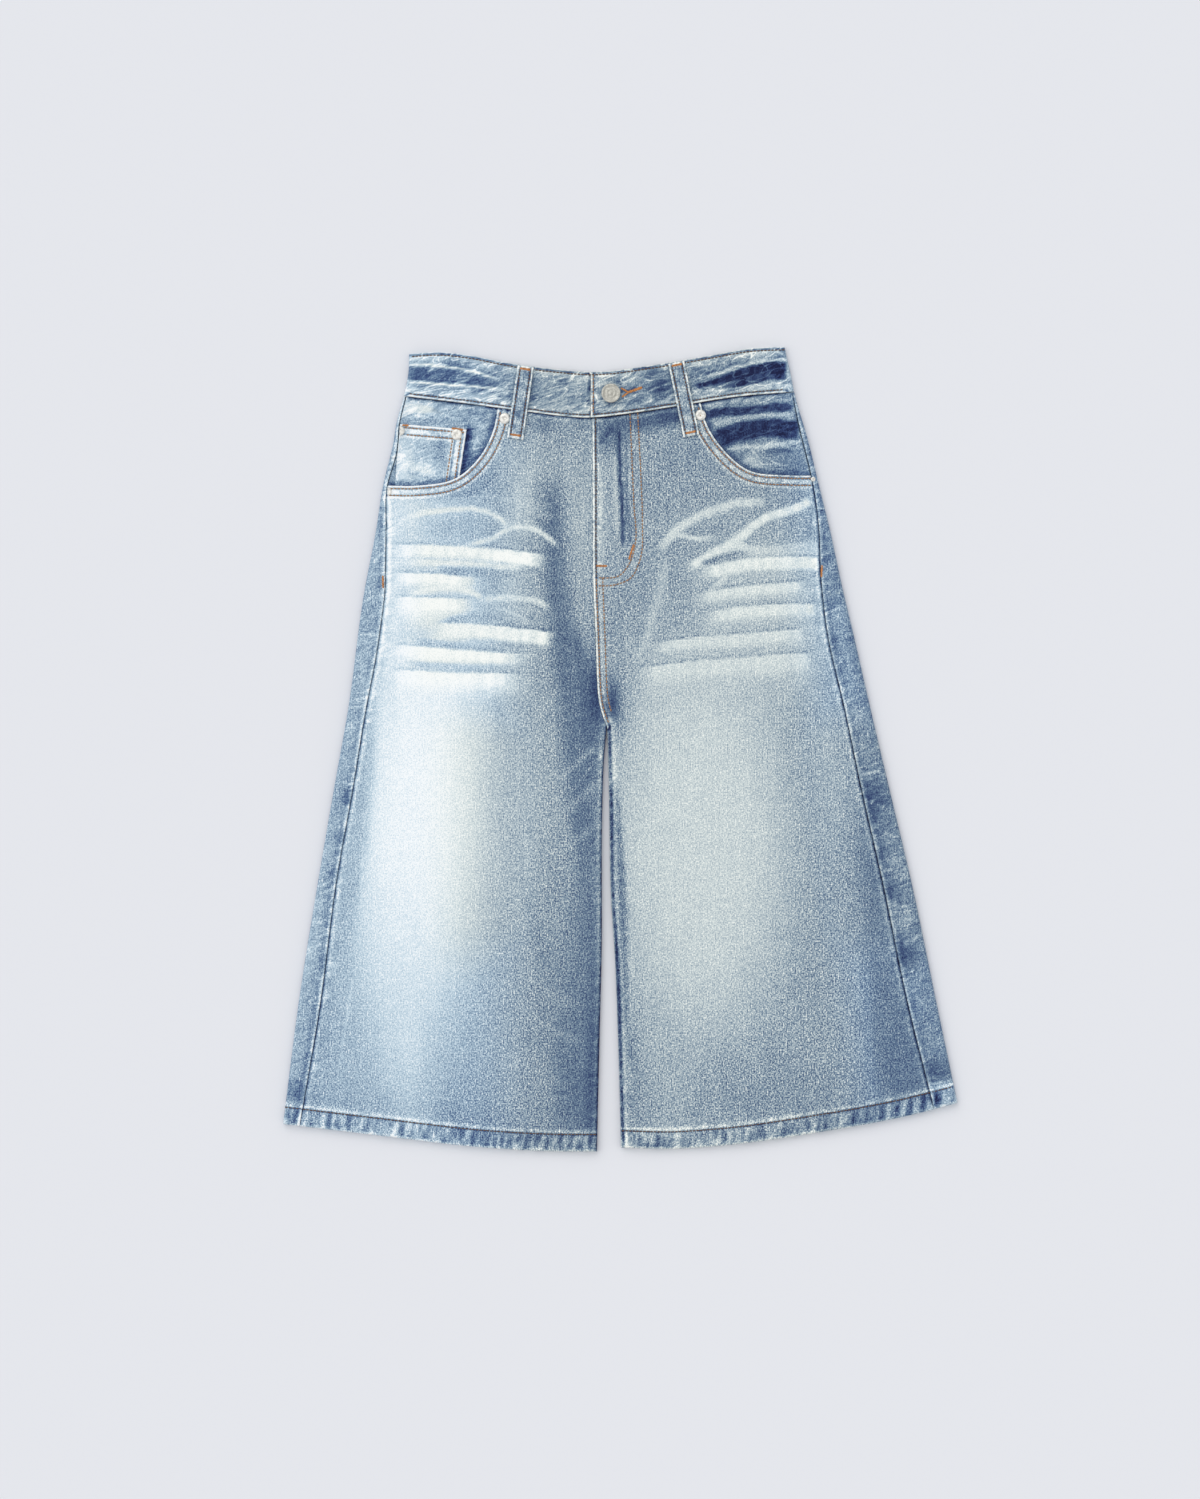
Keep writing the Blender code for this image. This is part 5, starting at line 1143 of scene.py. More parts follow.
def denim(name, cloth):
    """Cotton denim, a 3/1 twill of indigo warp over white weft, stone washed: dull, with salt-and-pepper
    yarns, long slubs down the warp and cloudy fading. The real twill of 0.6 mm is drawn 1.2 mm wide."""
    made, tree = new_material(name)
    place = add_node(tree, "ShaderNodeUVMap", {"uv_map": "cloth"})
    # the tone in the wash attribute holds painted shade and shadows as well as the wash
    wash = add_node(tree, "ShaderNodeAttribute", {"attribute_name": "wash"})
    parts = add_node(tree, "ShaderNodeSeparateColor", inputs={"Color": wash.outputs["Color"]})
    tone = parts.outputs["Red"]

    def calculated(operation, *values):
        made = add_node(tree, "ShaderNodeMath", {"operation": operation}, dict(enumerate(values)))
        return made.outputs[0]

    def pattern(across, along_warp, detail, roughness, turn=0.0, swirl=0.0):
        """Noise with its grain at these spacings in millimetres, about 0."""
        spaced = add_node(
            tree, "ShaderNodeMapping", {"vector_type": "TEXTURE"},
            {
                "Vector": place.outputs["UV"], "Rotation": (0.0, 0.0, math.radians(turn)),
                "Scale": (across * MM, along_warp * MM, 1.0)
            }
        )
        noise = add_node(
            tree, "ShaderNodeTexNoise", {"noise_dimensions": "2D"},
            {
                "Vector": spaced.outputs["Vector"], "Scale": 1.0, "Detail": detail, "Roughness": roughness,
                "Distortion": swirl
            }
        )
        return calculated("SUBTRACT", noise.outputs["Fac"], 0.5)

    def scaled(value, factor):
        return calculated("MULTIPLY", value, factor)

    def total(*values):
        result = values[0]
        for value in values[1:]:
            result = calculated("ADD", result, value)
        return result

    def graph(value, stops):
        """A value's image under a curve given by its stops, from 0 to 1 along both."""
        curve = add_node(tree, "ShaderNodeValToRGB", inputs={"Fac": value})
        set_stops(curve.color_ramp, [(at, (level, level, level, 1.0)) for at, level in stops])
        return curve.outputs["Color"]

    def beside_seams(nearness, stops):
        """The curve of a seam, its stops given by distance in millimetres from the seam's line."""
        return graph(nearness, [(1.0 - at / SEAM_REACH, level) for at, level in reversed(stops)])

    seam = add_node(tree, "ShaderNodeAttribute", {"attribute_name": "seam"})
    kinds = add_node(tree, "ShaderNodeSeparateColor", inputs={"Color": seam.outputs["Color"]})
    nearness = {
        "rows": kinds.outputs["Red"], "row": kinds.outputs["Green"], "butt": kinds.outputs["Blue"],
        "ridge": seam.outputs["Alpha"], "hem": wash.outputs["Alpha"]
    }
    yarn = cloth.yarn_spacing / MM
    pepper = pattern(yarn, 1.15 * yarn, 1.0, 0.6)
    slubs = pattern(yarn, 4.0 * yarn, 1.0, 0.6)
    streaks = pattern(3.0, 60.0, 2.0, 0.5)
    clouds = pattern(13.0, 16.0, 3.0, 0.6)
    blots = pattern(15.0, 5.0, 2.0, 0.5, turn=22.0, swirl=1.0)
    folds = pattern(22.0, 9.0, 1.0, 0.5, turn=22.0, swirl=0.8)
    puckers = pattern(7.0, 9.0, 2.0, 0.6)
    ropes = pattern(6.0, 26.0, 1.0, 0.5, turn=-8.0)
    vein = add_node(
        tree, "ShaderNodeMapRange", {"interpolation_type": "SMOOTHSTEP"},
        {
            "Value": calculated("ABSOLUTE", folds), "From Min": 0.0, "From Max": 0.035, "To Min": 1.0,
            "To Max": 0.0
        }
    )
    yarns = total(scaled(pepper, cloth.pepper), scaled(slubs, cloth.slub), scaled(streaks, 0.16))
    smoothed = total(scaled(parts.outputs["Blue"], -0.5), 1.0)
    uneven_tone = scaled(total(scaled(yarns, smoothed), scaled(clouds, 0.15)), graph(tone, YARN_CONTRAST))
    crinkled = scaled(
        total(scaled(blots, cloth.crinkle), scaled(vein.outputs["Result"], 0.24), -0.03),
        parts.outputs["Blue"]
    )
    pushes = []
    for kind, stops in SEAM_PROFILES.items():
        raised_stops = [(at, 0.5 + push) for at, push in stops]
        pushes.append(total(beside_seams(nearness[kind], raised_stops), -0.5))
    seamed = scaled(total(*pushes), total(scaled(puckers, 2.4), 1.0))
    roped = scaled(scaled(ropes, 0.85), beside_seams(nearness["hem"], ROPING))
    final = total(tone, uneven_tone, crinkled, seamed, roped)
    dyed = []
    for cast in (1, 2):
        ramp = add_node(tree, "ShaderNodeValToRGB", inputs={"Fac": final})
        set_stops(ramp.color_ramp, [(stop[0], srgb(stop[cast])) for stop in DYE_STOPS])
        dyed.append(ramp.outputs["Color"])
    # the green channel mixes in the greyer dye, for yellowed cloth and for painted shade of folds
    colour = add_node(
        tree, "ShaderNodeMix", {"data_type": "RGBA"}, {0: parts.outputs["Green"], 6: dyed[0], 7: dyed[1]}
    )
    twill_place = add_node(
        tree, "ShaderNodeMapping",
        inputs={
            "Vector": place.outputs["UV"], "Rotation": (0.0, 0.0, math.radians(63)),
            "Scale": (1.0 / (2 * cloth.yarn_spacing),) * 3
        }
    )
    twill = add_node(
        tree, "ShaderNodeTexWave", {"wave_type": "BANDS", "bands_direction": "X", "wave_profile": "SIN"},
        {"Vector": twill_place.outputs["Vector"], "Scale": 0.5, "Distortion": 1.5, "Detail": 1.0}
    )
    weave = total(scaled(pepper, 0.6), scaled(slubs, 0.6), scaled(twill.outputs["Fac"], 0.2))
    creased = scaled(scaled(blots, 3.0), parts.outputs["Blue"])
    raised = total(creased, scaled(seamed, 2.5), scaled(roped, 2.0))
    finish_surface(
        tree, total(weave, raised), 0.6,
        {
            "Base Color": colour.outputs[2], "Roughness": 0.92, "Specular IOR Level": 0.25,
            "Sheen Weight": 0.06, "Sheen Roughness": 0.5
        },
        distance=0.0004
    )
    return made


def thread_material(name, colour, twist):
    """Core-spun polyester sewing thread: a soft gleam, and light and dark plies along it."""
    made, tree = new_material(name)
    plies = grain(tree, twist, Detail=3.0, Roughness=0.7)
    shade = add_node(tree, "ShaderNodeValToRGB", inputs={"Fac": plies})
    dark = tuple(0.55 * channel for channel in colour[:3])
    light = tuple(min(1.0, 1.35 * channel) for channel in colour[:3])
    set_stops(shade.color_ramp, [(0.36, (*dark, 1.0)), (0.64, (*light, 1.0))])
    finish_surface(tree, plies, 0.4, {"Base Color": shade.outputs["Color"], "Roughness": 0.6})
    return made


def nickel(name, bright):
    """Brass stampings plated with nickel and tumbled: pale warm grey, satin, with fine scratches and a
    duller bloom where the wash has worn the plating."""
    made, tree = new_material(name)
    bloom = grain(tree, 0.0022, Detail=4.0, Roughness=0.65)
    tint = add_node(tree, "ShaderNodeValToRGB", inputs={"Fac": bloom})
    worn = tuple(0.62 * channel for channel in bright)
    set_stops(tint.color_ramp, [(0.30, (*worn, 1.0)), (0.58, (*bright, 1.0))])
    dull = add_node(tree, "ShaderNodeMapRange", inputs={"Value": bloom, "To Min": 0.62, "To Max": 0.42})
    finish_surface(
        tree, bloom, 0.15,
        {"Base Color": tint.outputs["Color"], "Metallic": 0.6, "Roughness": dull.outputs["Result"]}
    )
    return made


def made_once(name, build, *settings):
    """The material of this name, built the first time it is asked for."""
    return bpy.data.materials.get(name) or build(name, *settings)


# Making one piece


def meshed(bm, name):
    """The mesh of a bmesh, which it frees."""
    mesh = bpy.data.meshes.new(name)
    bm.to_mesh(mesh)
    bm.free()
    return mesh


def show(made, finish, slot, *nodes):
    """Gives a finished piece its material and body, in place of its CAD nodes. The slot is not used."""
    made.data.materials.append(finish)
    bpy.context.scene.collection.objects.link(made)
    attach(made, "root")
    if nodes:
        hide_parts(*nodes)
    return made


# The finish is kept on the mesh in the channels of two colour attributes; the tone in "wash" carries
# painted shade and shadows as well as the wash
FINISH_LAYERS = {"wash": ("tone", "cream_and_shade", "crinkle", "hem"), "seam": ("rows", "row", "butt", "ridge")}


def cloth_piece(name, columns, rows, place, wall="wall", slot="washed_denim", flip=False, walls=None):
    """A cut piece: place(column, row) gives its outer skin and its finish. The wall, a setting's name, lies
    inwards, and where walls gives a share for each row, it is that share of the full wall."""
    columns, rows = np.asarray(columns), np.asarray(rows)
    bm = bmesh.new()
    bmesh.ops.create_grid(bm, x_segments=len(columns) - 1, y_segments=len(rows) - 1, size=0.5)
    if flip:
        bmesh.ops.reverse_faces(bm, faces=bm.faces)
    mesh = meshed(bm, name)
    flat = np.empty(3 * len(mesh.vertices))
    mesh.vertices.foreach_get("co", flat)
    flat = flat.reshape(-1, 3)
    column = np.rint((flat[:, 0] + 0.5) * (len(columns) - 1)).astype(int)
    row = np.rint((flat[:, 1] + 0.5) * (len(rows) - 1)).astype(int)
    x, y, z, finish = place(columns[column], rows[row])
    points = np.stack([x, y, z], axis=1) * MM
    mesh.vertices.foreach_set("co", points.ravel())
    finish["cream_and_shade"] = cream_and_shade_cast(x, y, finish["tone"])
    for layer, parts in FINISH_LAYERS.items():
        colour = np.stack([finish.get(part, 0.0) + np.zeros(len(x)) for part in parts], axis=1)
        mesh.color_attributes.new(layer, "FLOAT_COLOR", "POINT").data.foreach_set("color", colour.ravel())
    lay_out_cloth(mesh, points, column, row)
    mesh.shade_smooth()
    made = bpy.data.objects.new(name + "_cloth", mesh)
    solid = made.modifiers.new("wall", "SOLIDIFY")
    solid.thickness = getattr(bpy.context.scene.jeans_cloth, wall)
    solid.offset = -1.0
    solid.use_even_offset = True
    solid.use_quality_normals = True
    if walls is not None:
        group = made.vertex_groups.new(name="wall")
        for share in np.unique(walls):
            group.add(np.nonzero(walls[row] == share)[0].tolist(), float(share), "REPLACE")
        solid.vertex_group = group.name
    finish = made_once("Washed denim", denim, bpy.context.scene.jeans_cloth)
    return show(made, finish, slot, name)


def lay_out_cloth(mesh, points, column, row):
    """The UV map "cloth": metres along the surface across the cloth, and up the cloth, for its weave."""
    shape = (row.max() + 1, column.max() + 1)
    x, y, z = np.zeros(shape), np.zeros(shape), np.zeros(shape)
    x[row, column], y[row, column], z[row, column] = points.T
    steps = np.hypot(np.diff(x, axis=1), np.diff(z, axis=1))
    outwards = np.sign(np.median(x[:, 1] - x[:, 0]))
    arc = np.concatenate([np.zeros((shape[0], 1)), np.cumsum(steps, axis=1)], axis=1)
    place = np.stack([(x[:, :1] + outwards * arc)[row, column], y[row, column]], axis=1)
    corners = np.empty(len(mesh.loops), int)
    mesh.loops.foreach_get("vertex_index", corners)
    layer = mesh.uv_layers.new(name="cloth")
    layer.data.foreach_set("uv", place[corners].ravel())


def coons(bottom, top, outer, inner, u, v):
    """The plan point inside four side curves, each given as a function of its share."""
    corners = [bottom(0.0), bottom(1.0), top(0.0), top(1.0)]
    found = []
    for axis in (0, 1):
        c00, c10, c01, c11 = [float(corner[axis]) for corner in corners]
        ruled = (1 - v) * bottom(u)[axis] + v * top(u)[axis] + (1 - u) * outer(v)[axis] + u * inner(v)[axis]
        flat = (1 - u) * (1 - v) * c00 + u * (1 - v) * c10 + (1 - u) * v * c01 + u * v * c11
        found.append(ruled - flat)
    return found


# Where the cloth is creamy, and where folds get painted shade: how much of the greyer dye, and the runs
# over which it sets in along x, y, the tone, or a line that leans as the left leg does
CREAM_LEAN = 0.12
CREAM_AND_SHADE_ZONES = [
    # the wearer's left leg, the thigh and the whiskers of the right one, and painted shade of folds
    (0.9, ("x", -140, -60), ("leaning", 210, 150)),
    (0.75, ("x", -190, -130), ("y", 60, 0), ("y", -230, -150)),
    (0.7, ("x", -200, -170), ("tone", 0.80, 0.90), ("y", 40, 80)),
    (0.6, ("tone", 0.60, 0.46), ("y", 230, 180), ("x", -130, -90))
]


def cream_and_shade_cast(x, y, tone):
    """How much of the creamier, greyer dye each point has: for yellowed cloth, and as painted shade of
    folds.
    """
    read = {"x": x, "y": y, "tone": tone, "leaning": x + CREAM_LEAN * y}
    casts = []
    for strength, *runs in CREAM_AND_SHADE_ZONES:
        cast = strength
        for key, start, end in runs:
            cast = cast * ease(read[key], start, end)
        casts.append(cast)
    return np.maximum.reduce(casts)


# The cut pieces


def panel_rows(in_hem, in_leg, above):
    """The rows of a panel's grid, by their numbers in the hem, in the leg and above the crotch."""
    leg = spread(ROW_HEM + ROW_HEM_STEP, ROW_UNDER_CROTCH, in_leg)
    return np.concatenate([spread(0.0, ROW_HEM, in_hem), leg, spread(ROW_CROTCH, 1.0, above)])


def panel_walls(rows):
    """Shares of the hem's wall: full in the hem, that of one cloth above it."""
    cloth = bpy.context.scene.jeans_cloth
    return np.where(rows < ROW_HEM + ROW_HEM_STEP / 2, 1.0, cloth.wall / cloth.hem_wall)


def front(side):
    """A front panel, with the fly on the left one and the fly's underlap on the right one."""
    sign = SIDE_SIGN[side]
    under_lap = side == "right"
    area = "front_" + side

    def inner_limit(y):
        lap = FLY_UNDERLAP * under_lap * ease(y, FLY_FOOT_Y - FLY_UNDERLAP_RUN, FLY_FOOT_Y)
        return inner_line(side, y) + lap

    def inner(v):
        waist = through(WAIST_SEAM, inner_limit(WAIST_CENTRE_Y)) - SEAM_GAP
        hem = through(HEM_EDGE[side], inner_line(side, INNER_EDGE[side][0][0]))
        stops = [
            (0.0, hem), (ROW_HEM, hem + HEM_HEIGHT), (ROW_UNDER_CROTCH, CROTCH_Y - CROTCH_ROW_HEIGHT),
            (ROW_CROTCH, CROTCH_Y), (1.0, waist)
        ]
        y = at_stops(stops, v)
        return inner_limit(y) + sign * FOLD_RADIUS, y

    def outer(v):
        mouth_foot = MOUTH_FOOT_Y[side] - SEAM_GAP
        hem = through(HEM_EDGE[side], outseam(side, SIDE_FOLD[side][0][0]))
        y = at_stops([(0.0, hem), (ROW_HEM, hem + HEM_HEIGHT), (1.0, mouth_foot)], v)
        return outseam(side, y) - sign * SEAM_GAP, y

    def bottom(u):
        x = (1 - u) * outer(0.0)[0] + u * inner(0.0)[0]
        return x, through(HEM_EDGE[side], x)

    def top(u):
        mouth_x, mouth_y = along(mouth_curve(side), 1 - np.clip(u / MOUTH_SHARE, 0, 1))
        corner_x = POCKET_MOUTH[side][0][0]
        share = np.clip((u - MOUTH_SHARE) / (1 - MOUTH_SHARE), 0, 1)
        waist_x = (1 - share) * corner_x + share * inner(1.0)[0]
        waist_y = through(WAIST_SEAM, waist_x) - SEAM_GAP
        on_mouth = np.asarray(u) < MOUTH_SHARE
        return np.where(on_mouth, mouth_x, waist_x), np.where(on_mouth, mouth_y - SEAM_GAP, waist_y)

    def place(u, v):
        core_x, y = coons(bottom, top, outer, inner, np.minimum(u, 1.0), v)
        turn = np.clip(u - 1.0, 0.0, 1.0) * math.pi / 2
        x = core_x - sign * FOLD_RADIUS * np.sin(turn)
        z = upper_height(x, y) - open_fold(y) * (FOLD_RADIUS - SEAM_GAP) * (1 - np.cos(turn))
        before_seam = centre_seam(np.maximum(y, CROTCH_Y)) - x
        sunk = under_lap * ease(before_seam, *FLY_RAMP) * ease(y, *FLY_SINK_Y)
        relief, finish = finished(area, side, x, y)
        return x, y, z - LAYER * sunk + relief, finish

    columns = lines_of((0.0, MOUTH_SHARE, 68), (MOUTH_SHARE, 1.0, 46), (1.0, 2.0, 6))
    rows = panel_rows(8, 112, 205)
    return cloth_piece(area, columns, rows, place, "hem_wall", flip=side == "left", walls=panel_walls(rows))


def wrapped(side, station, low, high, v):
    """A point of a yoke or back panel. Stations 0 to 1 run on the upper side from the outseam, 1 to 3 round
    the side fold, 3 to 4 along the underside and 4 to 5 up the inner fold of the leg."""
    sign = SIDE_SIGN[side]
    y = (1 - v) * low(side_fold(side, 0.0)) + v * high(side_fold(side, 0.0))
    for _ in range(ROUNDS):
        edge = side_fold(side, y)
        inset = through(OUTSEAM_INSET[side], y) - SEAM_GAP / 2
        angle = np.arccos(np.clip((FOLD_RADIUS - inset) / FOLD_RADIUS, 0.0, 1.0))
        seam_arc = np.where(inset < FOLD_RADIUS, FOLD_RADIUS * angle, QUARTER_FOLD + inset - FOLD_RADIUS)
        fold_arc = np.minimum(STRIP_SHARE * seam_arc, QUARTER_FOLD)
        strip = np.clip(station, 0, 1)
        arc = (1 - strip) * seam_arc + strip * fold_arc
        arc = arc - np.clip(station - 1, 0, 1) * fold_arc - np.clip(station - 2, 0, 1) * QUARTER_FOLD
        bend = np.clip(arc / FOLD_RADIUS, -math.pi / 2, math.pi / 2)
        run = np.maximum(arc - QUARTER_FOLD, 0.0)
        outer_x = edge - sign * (FOLD_RADIUS * (1 - np.cos(bend)) + run)
        inner_x = inner_line(side, y) + sign * FOLD_RADIUS
        across = np.clip(station - 3, 0, 1)
        turn = np.clip(station - 4, 0, 1) * math.pi / 2
        x = (1 - across) * outer_x + across * inner_x - sign * FOLD_RADIUS * np.sin(turn)
        y = (1 - v) * low(x) + v * high(x)
    on_top = FOLD_RADIUS + FOLD_RADIUS * np.sin(bend) + (upper_height(x, y) - 2 * FOLD_RADIUS) * (run > 0)
    beneath = under_height(x, y) + open_fold(y) * (FOLD_RADIUS - SEAM_GAP) * (1 - np.cos(turn))
    return x, y, np.where(station <= 3, on_top, beneath)


# Stations of the side fold over which the relief on top runs out, that beneath sets in, and the wash turns
TOP_RELIEF_OUT = (1.6, 0.9)
UNDER_RELIEF_IN = (3.0, 3.1)
WASH_CHANGE = (1.5, 2.5)


def wrapped_finish(side, station, x, y, z):
    """The skin and finish of a piece that goes round the side fold, from the strip on top to beneath."""
    strip_relief, strip_finish = finished("strip_" + side, side, x, y)
    under_relief, under_finish = finished("under", side, x, y)
    lift = strip_relief * ease(station, *TOP_RELIEF_OUT) - under_relief * ease(station, *UNDER_RELIEF_IN)
    return x, y, z + lift, between(strip_finish, under_finish, ease(station, *WASH_CHANGE))


def back(side):
    """A back panel, from the outseam on the upper side round the side fold to the leg's inner fold."""

    def hem(x):
        return through(HEM_EDGE[side], x)

    def seam(x):
        return yoke_seam(x) - SEAM_GAP

    def place(station, v):
        return wrapped_finish(side, station, *wrapped(side, station, hem, seam, at_stops(BACK_ROWS, v)))

    columns = lines_of((0.0, 1.0, 15), (1.0, 3.0, 13), (3.0, 4.0, 62), (4.0, 5.0, 6))
    rows = panel_rows(7, 125, 72)
    return cloth_piece(
        "back_" + side, columns, rows, place, "hem_wall", flip=side == "right", walls=panel_walls(rows)
    )


def yoke(side):
    """A back yoke, which shows on the upper side as a sliver beside the pocket."""

    def waist(x):
        return through(WAIST_SEAM, x) - SEAM_GAP

    def place(station, v):
        return wrapped_finish(side, station, *wrapped(side, station, yoke_seam, waist, v))

    columns = lines_of((0.0, 1.0, 9), (1.0, 3.0, 13), (3.0, 4.0, 60), (4.0, 5.0, 3))
    return cloth_piece("yoke_" + side, columns, spread(0.0, 1.0, 34), place, flip=side == "right")


def pocket_facing(side):
    """The cloth that shows inside a pocket mouth."""
    sign = SIDE_SIGN[side]
    area = "facing_" + side

    def mouth(share):
        """The mouth's curve moved under the front panel."""
        x, y = along(mouth_curve(side), share)
        ahead_x, ahead_y = along(mouth_curve(side), np.asarray(share) + 0.01)
        length = np.hypot(ahead_x - x, ahead_y - y)
        shift_x = sign * (ahead_y - y) / length * FACING_UNDER
        shift_y = -sign * (ahead_x - x) / length * FACING_UNDER
        return x + shift_x, y + shift_y

    foot_y = float(mouth(1.0)[1])
    top_x = float(mouth(0.0)[0])

    def outer(v):
        high = float(through(WAIST_SEAM, outseam(side, WAIST_SIDE_Y))) - SEAM_GAP
        y = foot_y + (high - foot_y) * v
        return outseam(side, y) - sign * 2 * SEAM_GAP, y

    def inner(v):
        x, y = mouth(FACING_CORNER * (1 - v))
        return x, y + v * (float(through(WAIST_SEAM, top_x)) - SEAM_GAP - float(mouth(0.0)[1]))

    def bottom(u):
        x, y = mouth(1.0 - (1.0 - FACING_CORNER) * u)
        return x + (1 - u) * (float(outer(0.0)[0]) - float(mouth(1.0)[0])), y

    def top(u):
        x = (1 - u) * float(outer(1.0)[0]) + u * top_x
        return x, through(WAIST_SEAM, x) - SEAM_GAP

    def place(u, v):
        x, y = coons(bottom, top, outer, inner, u, v)
        x, y, z = upper_skin(side, x, y, facing_depth(side, x, y))
        relief, finish = finished(area, side, x, y)
        return x, y, z + relief, finish

    columns = lines_of((0.0, 0.1, 9), (0.1, 1.0, 60))
    return cloth_piece(
        "pocket_facing_" + side, columns, spread(0.0, 1.0, 60), place, slot="dark_denim",
        flip=side == "left"
    )


def coin_pocket():
    """The small pocket on the right facing."""
    corner = {name: np.array(point) for name, point in COIN_POCKET.items()}

    def place(u, v):
        u, v = u[:, None], v[:, None]
        foot = (1 - u) * corner["foot_outer"] + u * corner["foot_inner"]
        top = (1 - u) * corner["top_outer"] + u * corner["top_inner"]
        x, y = ((1 - v) * foot + v * top).T
        x, y, z = upper_skin("right", x, y, facing_depth("right", x, y) - LAYER)
        relief, finish = finished("coin_pocket", "right", x, y)
        return x, y, z + relief, finish

    columns = lines_of((0.0, 0.13, 9), (0.13, 1.0, 40))
    return cloth_piece("coin_pocket", columns, spread(0.0, 1.0, 46), place)


def waistband():
    """One strip from its free end over the button side and round the back to its end under the first.
    Stations 0 to 1 and 6 to 7 lie on top, 3 to 4 beneath, and 1 to 3 and 4 to 6 go round the side folds."""

    def place(station, v):
        y = np.full_like(station, WAIST_SIDE_Y)
        for _ in range(ROUNDS):
            left, right = side_fold("left", y), side_fold("right", y)
            stops = [
                LAP_END_X + 0 * y, left - FOLD_RADIUS, left, left - FOLD_RADIUS, right + FOLD_RADIUS, right,
                right + FOLD_RADIUS, LAP_UNDER_END_X + 0 * y
            ]
            x = stops[0]
            for index in range(len(stops) - 1):
                share = np.clip(station - index, 0, 1)
                straight = stops[index] + share * (stops[index + 1] - stops[index])
                sine, cosine = np.sin(share * math.pi / 2), np.cos(share * math.pi / 2)
                widening = stops[index] + sine * (stops[index + 1] - stops[index])
                narrowing = stops[index + 1] + cosine * (stops[index] - stops[index + 1])
                part = {1: widening, 4: widening, 2: narrowing, 5: narrowing}.get(index, straight)
                x = np.where(station > index, part, x)
            low = through(WAIST_SEAM, x) + SEAM_GAP
            corner = LAP_CORNER * ease(x, LAP_END_X + LAP_CORNER_RUN, LAP_END_X) * (station < 1)
            y = (1 - v) * low + v * (through(WAIST_TOP, x) - corner)
        down_left = np.clip(station - 1, 0, 2) * math.pi / 2
        up_right = np.clip(station - 4, 0, 2) * math.pi / 2
        folded = FOLD_RADIUS + FOLD_RADIUS * np.where(station <= 3, np.cos(down_left), -np.cos(up_right))
        z = np.where((station <= 1) | (station >= 6), waistband_height(x, y, station < 1), folded)
        z = np.where((station >= 3) & (station <= 4), under_height(x, y), z)
        relief, finish = finished("waistband", "left", x, y)
        beneath = ease(station, 1.5, 2.5) * ease(station, 5.5, 4.5)
        back_finish = finished("waistband_back", "left", x, y)[1]
        on_top = ease(station, 1.5, 0.9) + ease(station, 5.5, 6.1)
        return x, y, z + relief * on_top, between(finish, back_finish, beneath)

    columns = lines_of((0.0, 1.0, 112), (1.0, 3.0, 13), (3.0, 4.0, 110), (4.0, 6.0, 13), (6.0, 7.0, 128))
    return cloth_piece(
        "waistband", columns, spread(0.0, 1.0, 28), place, "waistband_wall", slot="dark_denim"
    )


def loop_finish(u, v):
    """Relief and finish of a belt loop: pale folded edges, two grooves of stitching, worn ends."""
    from_edge = np.minimum(u, 1 - u) * LOOP_CLOTH_WIDTH
    from_row = from_edge - (LOOP_CLOTH_WIDTH / 2 - LOOP_ROW)
    relief = -LOOP_GROOVE * bell(from_row, 0, LOOP_GROOVE_WIDTH)
    tone = BASE_TONE["loop"] + 0.10 * np.sin(9.0 * v + 4.0 * u) * np.sin(23.0 * v)
    tone = tone + 0.25 * bell(v, 1, 0.05) + 0.25 * bell(v, 0, 0.04)
    finish = {"tone": np.clip(tone, 0.2, 0.97), "crinkle": LOOP_CRINKLE, "row": 1 - from_edge / SEAM_REACH}
    return relief, finish


def front_loop(name):
    """A strap tacked at both ends across the waistband, bowed off it between."""
    top_x, top_y, foot_x, foot_y = FRONT_LOOPS[name]
    length = math.hypot(top_x - foot_x, top_y - foot_y)
    lean_x, lean_y = (top_y - foot_y) / length, (foot_x - top_x) / length

    def place(u, v):
        x = foot_x + v * (top_x - foot_x) + (u - 0.5) * LOOP_CLOTH_WIDTH * lean_x
        y = foot_y + v * (top_y - foot_y) + (u - 0.5) * LOOP_CLOTH_WIDTH * lean_y
        relief, finish = loop_finish(u, v)
        return x, y, loop_height(x, y, v) + relief, finish

    return cloth_piece(name, spread(0.0, 1.0, 13), spread(0.0, 1.0, 56), place, "loop_wall")


def loop_height(x, y, v):
    """The outer height of a front loop at a share of its length."""
    under = np.maximum(waistband_height(x, y, x > 0), upper_height(x, y))
    bow = LOOP_BOW * np.sqrt(np.sin(np.pi * np.clip(v, 0.02, 0.98)))
    return under + SEAM_GAP + bow + LOOP_WALL


def back_loop(name):
    """A belt loop of the underside, flat on the table."""
    centre = BACK_LOOPS[name]
    top = float(through(WAIST_TOP, centre)) - BACK_LOOP_TOP

    def place(u, v):
        x = centre + (u - 0.5) * LOOP_CLOTH_WIDTH
        y = BACK_LOOP_FOOT_Y + v * (top - BACK_LOOP_FOOT_Y)
        relief, finish = loop_finish(u, v)
        return x, y, -relief, finish

    return cloth_piece(name, spread(0.0, 1.0, 13), spread(0.0, 1.0, 50), place, flip=True)


def back_pocket_point(side, u, v):
    """A plan point of a back pocket, u across it and v up it."""
    centre, top = BACK_POCKET_X[side], BACK_POCKET_TOP_Y
    foot = top - BACK_POCKET_HEIGHT + (BACK_POCKET_HEIGHT - BACK_POCKET_SHOULDER) * np.abs(2 * u - 1)
    y = foot + v * (top - foot)
    widening = np.clip((y - top + BACK_POCKET_SHOULDER) / BACK_POCKET_SHOULDER, 0.0, 1.0)
    width = BACK_POCKET_FOOT_WIDTH + (BACK_POCKET_TOP_WIDTH - BACK_POCKET_FOOT_WIDTH) * widening
    return centre + (u - 0.5) * width, y


